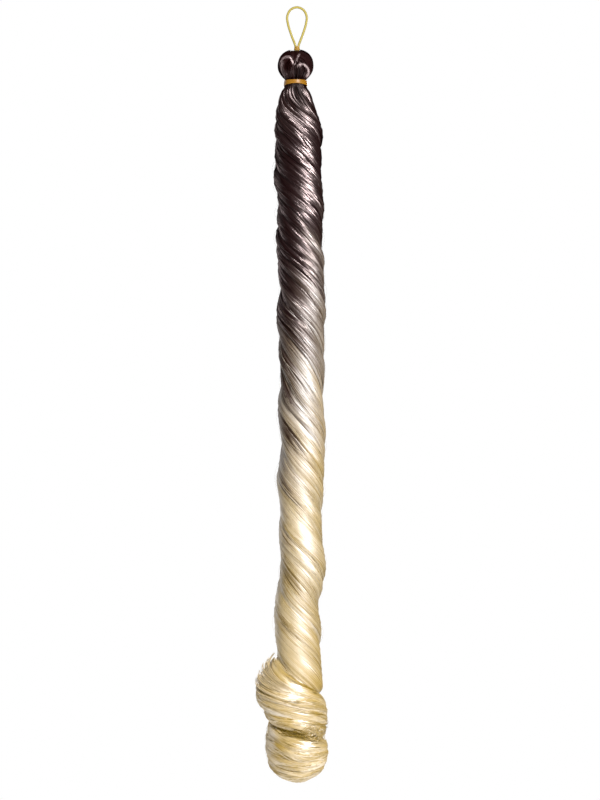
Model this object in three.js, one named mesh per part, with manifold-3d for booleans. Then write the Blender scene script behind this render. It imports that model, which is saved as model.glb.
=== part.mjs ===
// Spiral hair extension: a bundle of long synthetic hair that is folded over an elastic loop, tied below
// the fold, twisted into a hank and left to curl up at its end. It hangs by the loop.
// Millimetres, +Z up. The origin is the inside of the loop's top, and the front faces -Y.
// "drop" is a distance below the origin. Angles are in degrees round the hank, from the front towards +X.
import * as THREE from 'three';
import { mergeVertices } from 'three/addons/utils/BufferGeometryUtils.js';
import Module from 'manifold-3d';

const wasm = await Module();
wasm.setup();

// Driving dimensions
const CLEARANCE = 0.3;        // between pieces that touch
const SAME_POINT = 1e-4;      // corners nearer than this are one

const CORD_DIAMETER = 1.9;    // elastic of the hanging loop
const CORD_SIDES = 8;
const CORD_STEPS = 72;
const KNOT_SIDES = 14;

const HEAD_TOP = 33.8;        // drop of the fold's crown
const HEAD_EQUATOR = 46.9;    // drop of the widest place
const HEAD_RADIUS = 14.5;
const HEAD_CENTRE_X = -1.1;
const HEAD_FULLNESS = 2.3;    // exponent of the dome: 2 is a plain ellipse
const HEAD_TAPER = 2.2;       // exponent of the taper from the equator to the neck
const HEAD_GROOVE = 0.5;      // depth of the partings between the folded locks
const DOME_RINGS = [0.08, 0.2, 0.36, 0.54, 0.76, 1];  // shares of the way from crown to equator
const TAPER_RINGS = [0.25, 0.45, 0.65, 0.83, 1];      // shares of the way from equator to neck

const PARTING_ANGLE = -6;     // V-shaped parting above the elastic, on the front of the head
const PARTING_LENGTH = 12;
const PARTING_WIDTH = 6;
const PARTING_DEPTH = 1.4;

const NECK_TOP = 58.4;        // the tied stretch of the hair
const NECK_SPLIT = 61.4;      // head and hank meet here, under the tie
const NECK_RADIUS = 8.3;

const BAND_THICKNESS = 0.9;   // flat elastic of the tie
const BAND_WIDTH = 2.8;
const BAND_BEVEL = 0.35;      // on its outer edges
const BAND_UPPER_DROP = 60.2; // first wrap, level
const BAND_LOWER_DROP = 62.3; // second wrap, lower at the back, crossing the first at the front
const BAND_TILT = 10;
const BAND_SEGMENTS = 36;

const GROOVE_DEPTH = 2.1;     // between neighbouring locks of the twisted hank
const LOCK_ROUNDNESS = 2.6;   // exponent of a lock's outline
const LOOSE_RADIUS = 16;      // where the hank is this wide, its locks stand fully apart
const FLARE_END = 74;         // the hank opens out from the tie down to here
const COLUMNS_PER_LOCK = 6;
const HANK_STEP = 6.4;

const CURL_SIDES = 8;
const CURL_STEP = 20;         // degrees
const CURL_BLUNTNESS = 0.5;   // a lock's end ring, as a share of its thickness
const CURL_DEPTH_Y = 2;       // the curl's axis lies this far behind the hank's
const CORE_SIDES = 18;
const CORE_RINGS = 12;

const DARK_BROWN = 0x2a1a1c;
const OMBRE_MID = 0xa8937a;
const YELLOW_GOLD = 0xd9bf3c;
const AMBER_GOLD = 0xcc9423;

// Half of the loop's centreline, from its top to the bend inside the head; the other half mirrors it.
const LOOP_OUTLINE = [
  { half: 0, drop: -0.95 },
  { half: 5.3, drop: 1.2 },
  { half: 8.0, drop: 6.8 },
  { half: 7.3, drop: 13 },
  { half: 4.5, drop: 22 },
  { half: 1.2, drop: 31 },
  { half: 1.0, drop: 34 },
  { half: 2.4, drop: 38 },
  { half: 1.9, drop: 42.6 },
  { half: 0, drop: 44.4 },
];

// The knot that draws the loop's legs together on the crown of the head.
const KNOT_SECTIONS = [
  { drop: 28.9, radius: 1.7 },
  { drop: 29.9, radius: 2.0 },
  { drop: 31.2, radius: 2.2 },
  { drop: 32.3, radius: 2.5 },
  { drop: 33.1, radius: 2.6 },
  { drop: 33.5, radius: 2.1 },
];

// The locks that show round the hank: the angle of each lock's first groove at the tie, and how the lock
// swells and sinks along the hank.
const LOCKS = [
  { groove: 73, swell: 0.7, wave: 118, phase: 20 },
  { groove: 152, swell: 0.5, wave: 150, phase: 210 },
  { groove: 198, swell: 0.8, wave: 135, phase: 300 },
  { groove: 240, swell: 0.9, wave: 160, phase: 100 },
  { groove: 305, swell: 0.6, wave: 126, phase: 160 },
  { groove: 350, swell: 1.0, wave: 144, phase: 60 },
];

// How far the locks have wound round the hank. The twist sets in below the tie and slackens half way down.
const TWIST_STATIONS = [
  { drop: 50, turn: 0 },
  { drop: NECK_SPLIT, turn: 0 },
  { drop: 73.4, turn: 11 },
  { drop: 85.4, turn: 45 },
  { drop: 200, turn: 463 },
  { drop: 265, turn: 676 },
  { drop: 310, turn: 800 },
  { drop: 360, turn: 934 },
  { drop: 420, turn: 1119 },
  { drop: 566, turn: 1612 },
];

// The hank's outline: radius over the locks, and how far its middle sways to the side.
const HANK_SECTIONS = [
  { drop: NECK_SPLIT + CLEARANCE, radius: NECK_RADIUS, sway: HEAD_CENTRE_X },
  { drop: 65.6, radius: NECK_RADIUS, sway: HEAD_CENTRE_X },
  { drop: 68, radius: 11.7, sway: -1.1 },
  { drop: 74, radius: 14.6, sway: -0.8 },
  { drop: 84, radius: 17.0, sway: -0.2 },
  { drop: 98, radius: 19.6, sway: 1.6 },
  { drop: 114, radius: 18.9, sway: 1.1 },
  { drop: 140, radius: 19.6, sway: 1.2 },
  { drop: 165, radius: 18.8, sway: 3.3 },
  { drop: 190, radius: 18.6, sway: 1.8 },
  { drop: 206, radius: 19.5, sway: 2.7 },
  { drop: 230, radius: 19.0, sway: 4.2 },
  { drop: 249, radius: 20.6, sway: 2.9 },
  { drop: 268, radius: 18.4, sway: 3.2 },
  { drop: 284, radius: 18.6, sway: 3.9 },
  { drop: 306, radius: 17.1, sway: 4.1 },
  { drop: 326, radius: 19.0, sway: 2.5 },
  { drop: 352, radius: 18.4, sway: 5.0 },
  { drop: 384, radius: 19.1, sway: 2.6 },
  { drop: 410, radius: 17.6, sway: 3.2 },
  { drop: 429, radius: 17.2, sway: 2.4 },
  { drop: 454, radius: 18.4, sway: 4.8 },
  { drop: 474, radius: 18.2, sway: 2.4 },
  { drop: 487, radius: 18.0, sway: -0.2 },
  { drop: 512, radius: 18.7, sway: 0.9 },
  { drop: 538, radius: 18.2, sway: 2.3 },
  { drop: 552, radius: 17.2, sway: 4.2 },
  { drop: 560, radius: 13.6, sway: 6.2 },
];
const HANK_END = 566;

// The curled tail: where its middle lies as it winds round, how far its locks fan out in height, how much
// the lower ones lean in and the outer ones bow in, and how thick they are.
const CURL_STATIONS = [
  { angle: -300, drop: 528, reach: 7.0, centre: 1.0, fan: 5.0, lean: 0, bow: 0, thick: 6.0 },
  { angle: -190, drop: 545, reach: 13.5, centre: -1.5, fan: 10, lean: -1.0, bow: 3.0, thick: 7.6 },
  { angle: -90, drop: 559, reach: 21.6, centre: -3.6, fan: 17, lean: -0.6, bow: 8.6, thick: 9.0 },
  { angle: 0, drop: 570, reach: 18.4, centre: -2.6, fan: 13.5, lean: -0.5, bow: 2.0, thick: 9.0 },
  { angle: 90, drop: 581, reach: 16.4, centre: 0.2, fan: 8.8, lean: 0, bow: 1.0, thick: 8.6 },
  { angle: 180, drop: 591, reach: 15.4, centre: 0.0, fan: 9, lean: 0.4, bow: 1.0, thick: 8.6 },
  { angle: 270, drop: 604, reach: 16.6, centre: -0.6, fan: 11, lean: 0.2, bow: 1.6, thick: 8.8 },
  { angle: 360, drop: 614, reach: 15.8, centre: 0.0, fan: 9, lean: 2.4, bow: 2.0, thick: 8.8 },
  { angle: 450, drop: 612.5, reach: 16.6, centre: 0.6, fan: 7, lean: 1.4, bow: 1.4, thick: 8.2 },
  { angle: 540, drop: 614, reach: 12.0, centre: 0.6, fan: 6, lean: 2.0, bow: 1.0, thick: 7.6 },
  { angle: 620, drop: 620, reach: 6.0, centre: 0.6, fan: 2.5, lean: 1.0, bow: 0, thick: 6.0 },
];
const CURL_LOCKS = [-1, -0.35, 0.3, 1]; // each lock's place in the fan, from the top

// The rounded middle of the curl, which the tail's locks wind round: a slim part above a wide one.
const CURL_CORE = [
  { drop: 570, centre: -5, radius: 16.5, height: 40 },
  { drop: 611.5, centre: 0.6, radius: 20.5, height: 22.6 },
];

const radians = THREE.MathUtils.degToRad;

// A point at an angle round an upright axis.
function around(angle, radius, drop, centreX = 0, centreY = 0) {
  const a = radians(angle);
  return new THREE.Vector3(centreX + radius * Math.sin(a), centreY - radius * Math.cos(a), -drop);
}

// A table's value at a place between its rows, on a smooth curve through them.
function readTable(rows, key, column, at) {
  const last = rows.length - 1;
  const next = rows.findIndex((row) => row[key] >= at);
  const i = THREE.MathUtils.clamp((next < 0 ? last : next) - 1, 0, last - 1);
  const [before, from, to, after] = [-1, 0, 1, 2].map((k) => rows[THREE.MathUtils.clamp(i + k, 0, last)]);
  const span = to[key] - from[key];
  const t = THREE.MathUtils.clamp((at - from[key]) / span, 0, 1);
  const slopeFrom = (to[column] - before[column]) / (to[key] - before[key]) * span;
  const slopeTo = (after[column] - from[column]) / (after[key] - from[key]) * span;
  const bend = 2 * from[column] - 2 * to[column] + slopeFrom + slopeTo;
  const curve = 3 * (to[column] - from[column]) - 2 * slopeFrom - slopeTo;
  return from[column] + t * (slopeFrom + t * (curve + t * bend));
}

// A closed surface through rings of points, with a pole at each end.
function skin(rings, firstPole, lastPole) {
  const sides = rings[0].length;
  const points = [firstPole, ...rings.flat(), lastPole];
  const at = (ring, side) => 1 + ring * sides + (side % sides);
  const faces = [];
  for (let side = 0; side < sides; side++) {
    faces.push(0, at(0, side), at(0, side + 1));
    faces.push(points.length - 1, at(rings.length - 1, side + 1), at(rings.length - 1, side));
    for (let ring = 0; ring < rings.length - 1; ring++) {
      faces.push(at(ring, side), at(ring + 1, side), at(ring, side + 1));
      faces.push(at(ring, side + 1), at(ring + 1, side), at(ring + 1, side + 1));
    }
  }
  return new THREE.BufferGeometry().setFromPoints(points).setIndex(faces);
}

// Between three.js geometry and solids that can be joined and cut
function toSolid(geometry) {
  const bare = new THREE.BufferGeometry().setAttribute('position', geometry.getAttribute('position'));
  bare.setIndex(geometry.index);
  const merged = mergeVertices(bare, SAME_POINT);
  return new wasm.Manifold(new wasm.Mesh({
    numProp: 3,
    vertProperties: merged.attributes.position.array,
    triVerts: new Uint32Array(merged.index.array),
  }));
}

function toGeometry(solid) {
  const { vertProperties, triVerts } = solid.getMesh();
  const geometry = new THREE.BufferGeometry();
  geometry.setAttribute('position', new THREE.BufferAttribute(new Float32Array(vertProperties), 3));
  geometry.setIndex(new THREE.BufferAttribute(new Uint32Array(triVerts), 1));
  return geometry;
}

function piece(name, geometry, material) {
  const faceted = geometry.toNonIndexed();
  faceted.computeVertexNormals();
  const mesh = new THREE.Mesh(faceted, material);
  mesh.name = name;
  return mesh;
}

// Hanging loop: one closed ring of elastic, whose lower end passes under the fold, inside the head
function loopTube(radius) {
  const half = LOOP_OUTLINE.map(({ half: x, drop }) => new THREE.Vector3(x, 0, -drop));
  const mirrored = half.slice(1, -1).reverse().map((p) => new THREE.Vector3(-p.x, 0, p.z));
  const path = new THREE.CatmullRomCurve3([...half, ...mirrored], true);
  return new THREE.TubeGeometry(path, CORD_STEPS, radius, CORD_SIDES, true);
}

// The knot is tied in the same elastic, so it is one body with the loop
function hangingLoop() {
  const rings = KNOT_SECTIONS.map(({ drop, radius }) => Array.from(
    { length: KNOT_SIDES },
    (_, side) => around(360 * side / KNOT_SIDES, radius, drop),
  ));
  const top = around(0, 0, KNOT_SECTIONS[0].drop);
  const foot = around(0, 0, KNOT_SECTIONS.at(-1).drop);
  return toGeometry(toSolid(loopTube(CORD_DIAMETER / 2)).add(toSolid(skin(rings, top, foot))));
}

// Hair: sections that are scalloped by the locks, shared by the head and the hank
function lockColumns() {
  const columns = [];
  LOCKS.forEach((lock, i) => {
    const next = i + 1 < LOCKS.length ? LOCKS[i + 1].groove : LOCKS[0].groove + 360;
    for (let k = 0; k < COLUMNS_PER_LOCK; k++) {
      const across = k / COLUMNS_PER_LOCK;
      columns.push({ lock, angle: lock.groove + (next - lock.groove) * across, across });
    }
  });
  return columns;
}

// How far a lock's outline falls towards its grooves: 0 along its crest, 1 in a groove
function scallop(across) {
  return Math.abs(2 * across - 1) ** LOCK_ROUNDNESS;
}

// Folded head: the knob that the hair's fold makes above the tie
function headRadius(drop) {
  if (drop < HEAD_EQUATOR) {
    const rise = (HEAD_EQUATOR - drop) / (HEAD_EQUATOR - HEAD_TOP);
    return HEAD_RADIUS * (1 - rise ** HEAD_FULLNESS) ** (1 / HEAD_FULLNESS);
  }
  const fall = Math.min(1, (drop - HEAD_EQUATOR) / (NECK_TOP - HEAD_EQUATOR));
  return NECK_RADIUS + (HEAD_RADIUS - NECK_RADIUS) * (1 - fall ** HEAD_TAPER);
}

function partingDent(angle, radius, drop) {
  const down = (drop - HEAD_TOP) / PARTING_LENGTH;
  const turn = THREE.MathUtils.euclideanModulo(angle - PARTING_ANGLE + 180, 360) - 180;
  const halfWidth = (PARTING_WIDTH / 2) * (1 - down);
  const aside = Math.abs(radians(turn)) * radius;
  return down < 1 && aside < halfWidth ? PARTING_DEPTH * (1 - aside / halfWidth) : 0;
}

function foldedHead() {
  const dome = DOME_RINGS.map((t) => HEAD_TOP + t * (HEAD_EQUATOR - HEAD_TOP));
  const below = TAPER_RINGS.map((t) => HEAD_EQUATOR + t * (NECK_TOP - HEAD_EQUATOR));
  const rings = [...dome, ...below, NECK_SPLIT].map((drop) => {
    const radius = headRadius(drop);
    const groove = HEAD_GROOVE * Math.min(1, radius / HEAD_RADIUS);
    return lockColumns().map(({ angle, across }) => {
      const dented = radius - groove * scallop(across) - partingDent(angle, radius, drop);
      return around(angle, dented, drop, HEAD_CENTRE_X);
    });
  });
  const crown = around(0, 0, HEAD_TOP, HEAD_CENTRE_X);
  const foot = around(0, 0, NECK_SPLIT, HEAD_CENTRE_X);
  const tunnel = toSolid(loopTube(CORD_DIAMETER / 2 + CLEARANCE));
  return toGeometry(toSolid(skin(rings, crown, foot)).subtract(tunnel));
}

// Tie band: flat elastic wound twice round the neck
function bandRing(drop, innerRadius, tilt) {
  const [inner, outer] = [innerRadius, innerRadius + BAND_THICKNESS];
  const half = BAND_WIDTH / 2;
  const profile = [
    new THREE.Vector2(inner, -half),
    new THREE.Vector2(outer - BAND_BEVEL, -half),
    new THREE.Vector2(outer, BAND_BEVEL - half),
    new THREE.Vector2(outer, half - BAND_BEVEL),
    new THREE.Vector2(outer - BAND_BEVEL, half),
    new THREE.Vector2(inner, half),
    new THREE.Vector2(inner, -half),
  ];
  const ring = new THREE.LatheGeometry(profile, BAND_SEGMENTS);
  ring.rotateX(Math.PI / 2 - radians(tilt));
  return toSolid(ring.translate(HEAD_CENTRE_X, 0, -drop));
}

function tieBand() {
  const inner = NECK_RADIUS + CLEARANCE;
  const upper = bandRing(BAND_UPPER_DROP, inner, 0);
  const lower = bandRing(BAND_LOWER_DROP, inner / Math.cos(radians(BAND_TILT)), BAND_TILT);
  return toGeometry(upper.add(lower));
}

// Twisted hank: the locks wind round each other, and the curled tail is fused to their lower end
function twistAt(drop) {
  return readTable(TWIST_STATIONS, 'drop', 'turn', drop);
}

function hankRadius(drop, { lock, across }) {
  const radius = readTable(HANK_SECTIONS, 'drop', 'radius', drop);
  const looseness = THREE.MathUtils.smoothstep(radius, NECK_RADIUS, LOOSE_RADIUS);
  const swell = lock.swell * Math.sin(2 * Math.PI * drop / lock.wave + radians(lock.phase));
  const fall = HEAD_GROOVE + (GROOVE_DEPTH - HEAD_GROOVE) * looseness;
  return radius + looseness * swell * (1 - scallop(across)) - fall * scallop(across);
}

function twistedLocks() {
  const first = HANK_SECTIONS[0];
  const last = HANK_SECTIONS.at(-1);
  const steps = Math.round((last.drop - FLARE_END) / HANK_STEP);
  const flare = HANK_SECTIONS.map(({ drop }) => drop).filter((drop) => drop < FLARE_END);
  const even = Array.from({ length: steps + 1 }, (_, i) => FLARE_END + (last.drop - FLARE_END) * i / steps);
  const drops = [...flare, ...even];
  const columns = lockColumns();
  const rings = drops.map((drop) => columns.map((column) => around(
    column.angle + twistAt(drop),
    hankRadius(drop, column),
    drop,
    readTable(HANK_SECTIONS, 'drop', 'sway', drop),
  )));
  const start = around(0, 0, first.drop, first.sway);
  const end = around(0, 0, HANK_END, last.sway);
  return toSolid(skin(rings, start, end));
}

// One lock of the curled tail: a tapering round strand on a downward spiral
function curlLock(place) {
  const [first, last] = [CURL_STATIONS[0].angle, CURL_STATIONS.at(-1).angle];
  const steps = Math.round((last - first) / CURL_STEP);
  const read = (column, angle) => readTable(CURL_STATIONS, 'angle', column, angle);
  const middle = (angle) => around(
    angle,
    read('reach', angle) - place * read('lean', angle) - place ** 2 * read('bow', angle),
    read('drop', angle) + place * read('fan', angle),
    read('centre', angle),
    CURL_DEPTH_Y,
  );
  const rings = [];
  for (let i = 0; i <= steps; i++) {
    const angle = first + (last - first) * i / steps;
    const along = middle(angle + 1).sub(middle(angle - 1)).normalize();
    const outward = around(angle, 1, 0);
    const across = new THREE.Vector3().crossVectors(outward, along).normalize();
    const isEnd = i === 0 || i === steps;
    const thick = read('thick', angle) * (isEnd ? CURL_BLUNTNESS : 1);
    rings.push(Array.from({ length: CURL_SIDES }, (_, side) => {
      const turn = 2 * Math.PI * side / CURL_SIDES;
      return middle(angle)
        .addScaledVector(outward, thick * Math.cos(turn))
        .addScaledVector(across, thick * Math.sin(turn));
    }));
  }
  return toSolid(skin(rings, middle(first), middle(last)));
}

function curlCore() {
  const parts = CURL_CORE.map(({ drop, centre, radius, height }) => {
    const core = new THREE.SphereGeometry(1, CORE_SIDES, CORE_RINGS).rotateX(Math.PI / 2);
    return toSolid(core.scale(radius, radius, height).translate(centre, CURL_DEPTH_Y, -drop));
  });
  return parts.reduce((all, core) => all.add(core));
}

function twistedHank() {
  const tail = CURL_LOCKS.map(curlLock).reduce((all, lock) => all.add(lock), curlCore());
  return toGeometry(twistedLocks().add(tail));
}

// Assembly
const darkHair = new THREE.MeshStandardMaterial({ color: DARK_BROWN, roughness: 0.35, metalness: 0 });
const ombreHair = new THREE.MeshStandardMaterial({ color: OMBRE_MID, roughness: 0.35, metalness: 0 });
const goldElastic = new THREE.MeshStandardMaterial({ color: YELLOW_GOLD, roughness: 0.4, metalness: 0 });
const amberElastic = new THREE.MeshStandardMaterial({ color: AMBER_GOLD, roughness: 0.25, metalness: 0 });

const extension = new THREE.Group();
extension.add(
  piece('hanging_loop', hangingLoop(), goldElastic),
  piece('folded_head', foldedHead(), darkHair),
  piece('tie_band', tieBand(), amberElastic),
  piece('twisted_hank', twistedHank(), ombreHair),
);

export default extension;
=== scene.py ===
"""Looks of a spiral hair extension.

An elastic loop carries a folded head of dark hair. Below its tie, six locks are twisted into one hank that
fades from dark brown to blonde, and the end of the hank is wound into a loose curl.

Forms are worked out in millimetres, with the drop measured down from the inside top of the loop. Meshes are
made in metres, in the frame's axes: +X right, -Y front, +Z up.
"""

import logging
import math
from dataclasses import dataclass, field
from enum import Enum

import bpy
import numpy as np
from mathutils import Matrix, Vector


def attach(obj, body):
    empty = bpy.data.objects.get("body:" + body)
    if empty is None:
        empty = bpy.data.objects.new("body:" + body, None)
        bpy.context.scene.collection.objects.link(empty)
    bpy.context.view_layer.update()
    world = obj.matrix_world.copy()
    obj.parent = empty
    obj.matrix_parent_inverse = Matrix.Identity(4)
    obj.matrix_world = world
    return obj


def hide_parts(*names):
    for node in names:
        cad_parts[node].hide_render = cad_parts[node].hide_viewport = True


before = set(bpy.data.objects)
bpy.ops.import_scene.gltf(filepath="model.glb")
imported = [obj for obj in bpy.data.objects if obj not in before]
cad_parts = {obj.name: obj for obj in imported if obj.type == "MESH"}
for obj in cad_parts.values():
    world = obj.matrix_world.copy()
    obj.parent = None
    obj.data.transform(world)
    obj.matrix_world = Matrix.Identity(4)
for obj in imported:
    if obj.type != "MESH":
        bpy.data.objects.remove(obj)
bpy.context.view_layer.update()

LOG = logging.getLogger("hair_extension")
MM = 0.001
BODY = "root"
STRIP_MAP = "OFBake"
LIGHT_FACING = (0.21, -0.977, -0.02)  # Faces turned this way show the key light's gloss at the front.
DARK = np.zeros((1, 1))
BLONDE = np.ones((1, 1))
Array = np.ndarray
Material = bpy.types.Material
ShaderNode = bpy.types.ShaderNode
Socket = bpy.types.NodeSocket
Row = tuple[float, ...]
Rows = tuple[Row, ...]
Span = tuple[float, float]
Triple = tuple[float, float, float]
Tint = tuple[float, float, float, float]
Stops = tuple[tuple[float, Tint], ...]


class Slot(Enum):
    """The record's material slots."""

    LOOP = "gold_elastic"
    HEAD = "dark_hair"
    TIE = "amber_elastic"
    HANK = "ombre_hair"


class Node(Enum):
    """The solids that the pieces stand for."""

    LOOP = "hanging_loop"
    HEAD = "folded_head"
    TIE = "tie_band"
    HANK = "twisted_hank"


class Trait(Enum):
    """The numbers that every point of a piece carries for its finish."""

    OMBRE = "ombre"
    TONE = "tone"
    ACROSS = "across"
    ALONG = "along"


def linear(colour: tuple[int, int, int]) -> Tint:
    """Turns a screen colour into a shader colour.

    Args:
        colour: Red, green and blue from 0 to 255, as seen on a screen.

    Returns:
        The linear colour with an alpha of 1.
    """
    shares = np.array(colour) / 255.0
    low = shares / 12.92
    high = ((shares + 0.055) / 1.055) ** 2.4
    return (*np.where(shares <= 0.04045, low, high).tolist(), 1.0)


def smoothstep(value: Array, start: float, end: float) -> Array:
    """Gives a soft step from 0 at start to 1 at end."""
    share = np.clip((value - start) / (end - start), 0.0, 1.0)
    return share * share * (3.0 - 2.0 * share)


def around(angle: Array, radius: Array, drop: Array, centre_x: Array = 0.0, centre_y: float = 0.0) -> Array:
    """Places points round an upright axis.

    Args:
        angle: Degrees from the front towards +X.
        radius: Distance from the axis.
        drop: Distance below the loop's inside top.
        centre_x: Where the axis stands, sideways.
        centre_y: Where the axis stands, front to back.

    Returns:
        The points, with x, y and z last.
    """
    turn = np.radians(angle)
    x = centre_x + radius * np.sin(turn)
    y = centre_y - radius * np.cos(turn)
    return np.stack(np.broadcast_arrays(x, y, -drop), axis=-1)


def shares(steps: int) -> Array:
    """Gives even shares from 0 to 1 along a fibre, as one row."""
    return np.linspace(0.0, 1.0, steps)[None, :]


def tapered(share: Array, tip: float, reach: float) -> Array:
    """Gives the share of its full width that a fibre has, down to its tip's at each end, over a reach."""
    return tip + (1.0 - tip) * smoothstep(np.minimum(share, 1.0 - share), 0.0, reach)


def parted(chance: np.random.Generator, count: int, wisps: int) -> tuple[Array, Array, Array]:
    """Spaces fibres unevenly side by side and parts them into wisps.

    Args:
        chance: The source of unevenness.
        count: How many fibres.
        wisps: How many wisps.

    Returns:
        Where each fibre lies, from 0 to 1, its wisp, and where in the wisp it lies, from -1 to 1.
    """
    share = (np.arange(count) + chance.uniform(0.1, 0.9, count)) / count
    wisp = np.minimum((share * wisps).astype(int), wisps - 1)
    return share, wisp, 2.0 * (share * wisps - wisp) - 1.0


def circle(sides: int) -> Array:
    """Gives even degrees once round."""
    return np.linspace(0.0, 360.0, sides, endpoint=False)


def lengths(path: Array) -> Array:
    """Gives the length along a path up to each of its points."""
    return np.concatenate(([0.0], np.cumsum(np.linalg.norm(np.diff(path, axis=0), axis=1))))


def outward_at(angle: Array) -> Array:
    """Gives the level directions that point away from an upright axis."""
    return around(angle, np.ones_like(angle), np.zeros_like(angle))


def unit(vectors: Array) -> Array:
    """Scales vectors to a length of one."""
    return vectors / np.maximum(np.linalg.norm(vectors, axis=-1, keepdims=True), 1e-12)


@dataclass(frozen=True)
class Unevenness:
    """Smooth unevenness along strands: the sizes of its waves, and the shortest and the longest of them."""

    sizes: Row
    waves: Span

    def lines(self, chance: np.random.Generator, count: int, at: Array) -> Array:
        """Draws lines that wander.

        Args:
            chance: The source of unevenness.
            count: How many lines.
            at: Where along the strands, as one row.

        Returns:
            One row of values for each line.
        """
        total = np.zeros((count, at.shape[1]))
        for size in self.sizes:
            wave = chance.uniform(*self.waves, (count, 1))
            phase = chance.uniform(0.0, 2.0 * np.pi, (count, 1))
            total += size * chance.uniform(0.5, 1.3, (count, 1)) * np.sin(2.0 * np.pi * at / wave + phase)
        return total


@dataclass(frozen=True)
class Window:
    """A stretch that fades in over its rise and out again over its fall."""

    rise: Span
    fall: Span

    def share(self, at: Array) -> Array:
        """Gives how far inside the stretch a place lies, from 0 to 1."""
        return smoothstep(at, *self.rise) * (1.0 - smoothstep(at, *self.fall))


@dataclass(frozen=True)
class SmoothTable:
    """A short table read as smooth curves through its rows, by its first column."""

    names: tuple[str, ...]
    rows: Rows

    def read(self, name: str, at: Array) -> Array:
        """Reads one column between the rows.

        Args:
            name: The column.
            at: Where to read it, in the first column's unit.

        Returns:
            The values there, held level beyond the ends.
        """
        grid = np.array(self.rows, dtype=float)
        keys = grid[:, 0]
        values = grid[:, self.names.index(name)]
        wide = np.concatenate(([0], np.arange(len(keys)), [len(keys) - 1]))
        slopes = (values[wide[2:]] - values[wide[:-2]]) / (keys[wide[2:]] - keys[wide[:-2]])
        held = np.clip(at, keys[0], keys[-1])
        row = np.clip(np.searchsorted(keys, held, side="right") - 1, 0, len(keys) - 2)
        span = keys[row + 1] - keys[row]
        share = (held - keys[row]) / span
        square = share * share
        cube = square * share
        start = (2 * cube - 3 * square + 1) * values[row] + (cube - 2 * square + share) * span * slopes[row]
        end = (3 * square - 2 * cube) * values[row + 1] + (cube - square) * span * slopes[row + 1]
        return start + end


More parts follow.
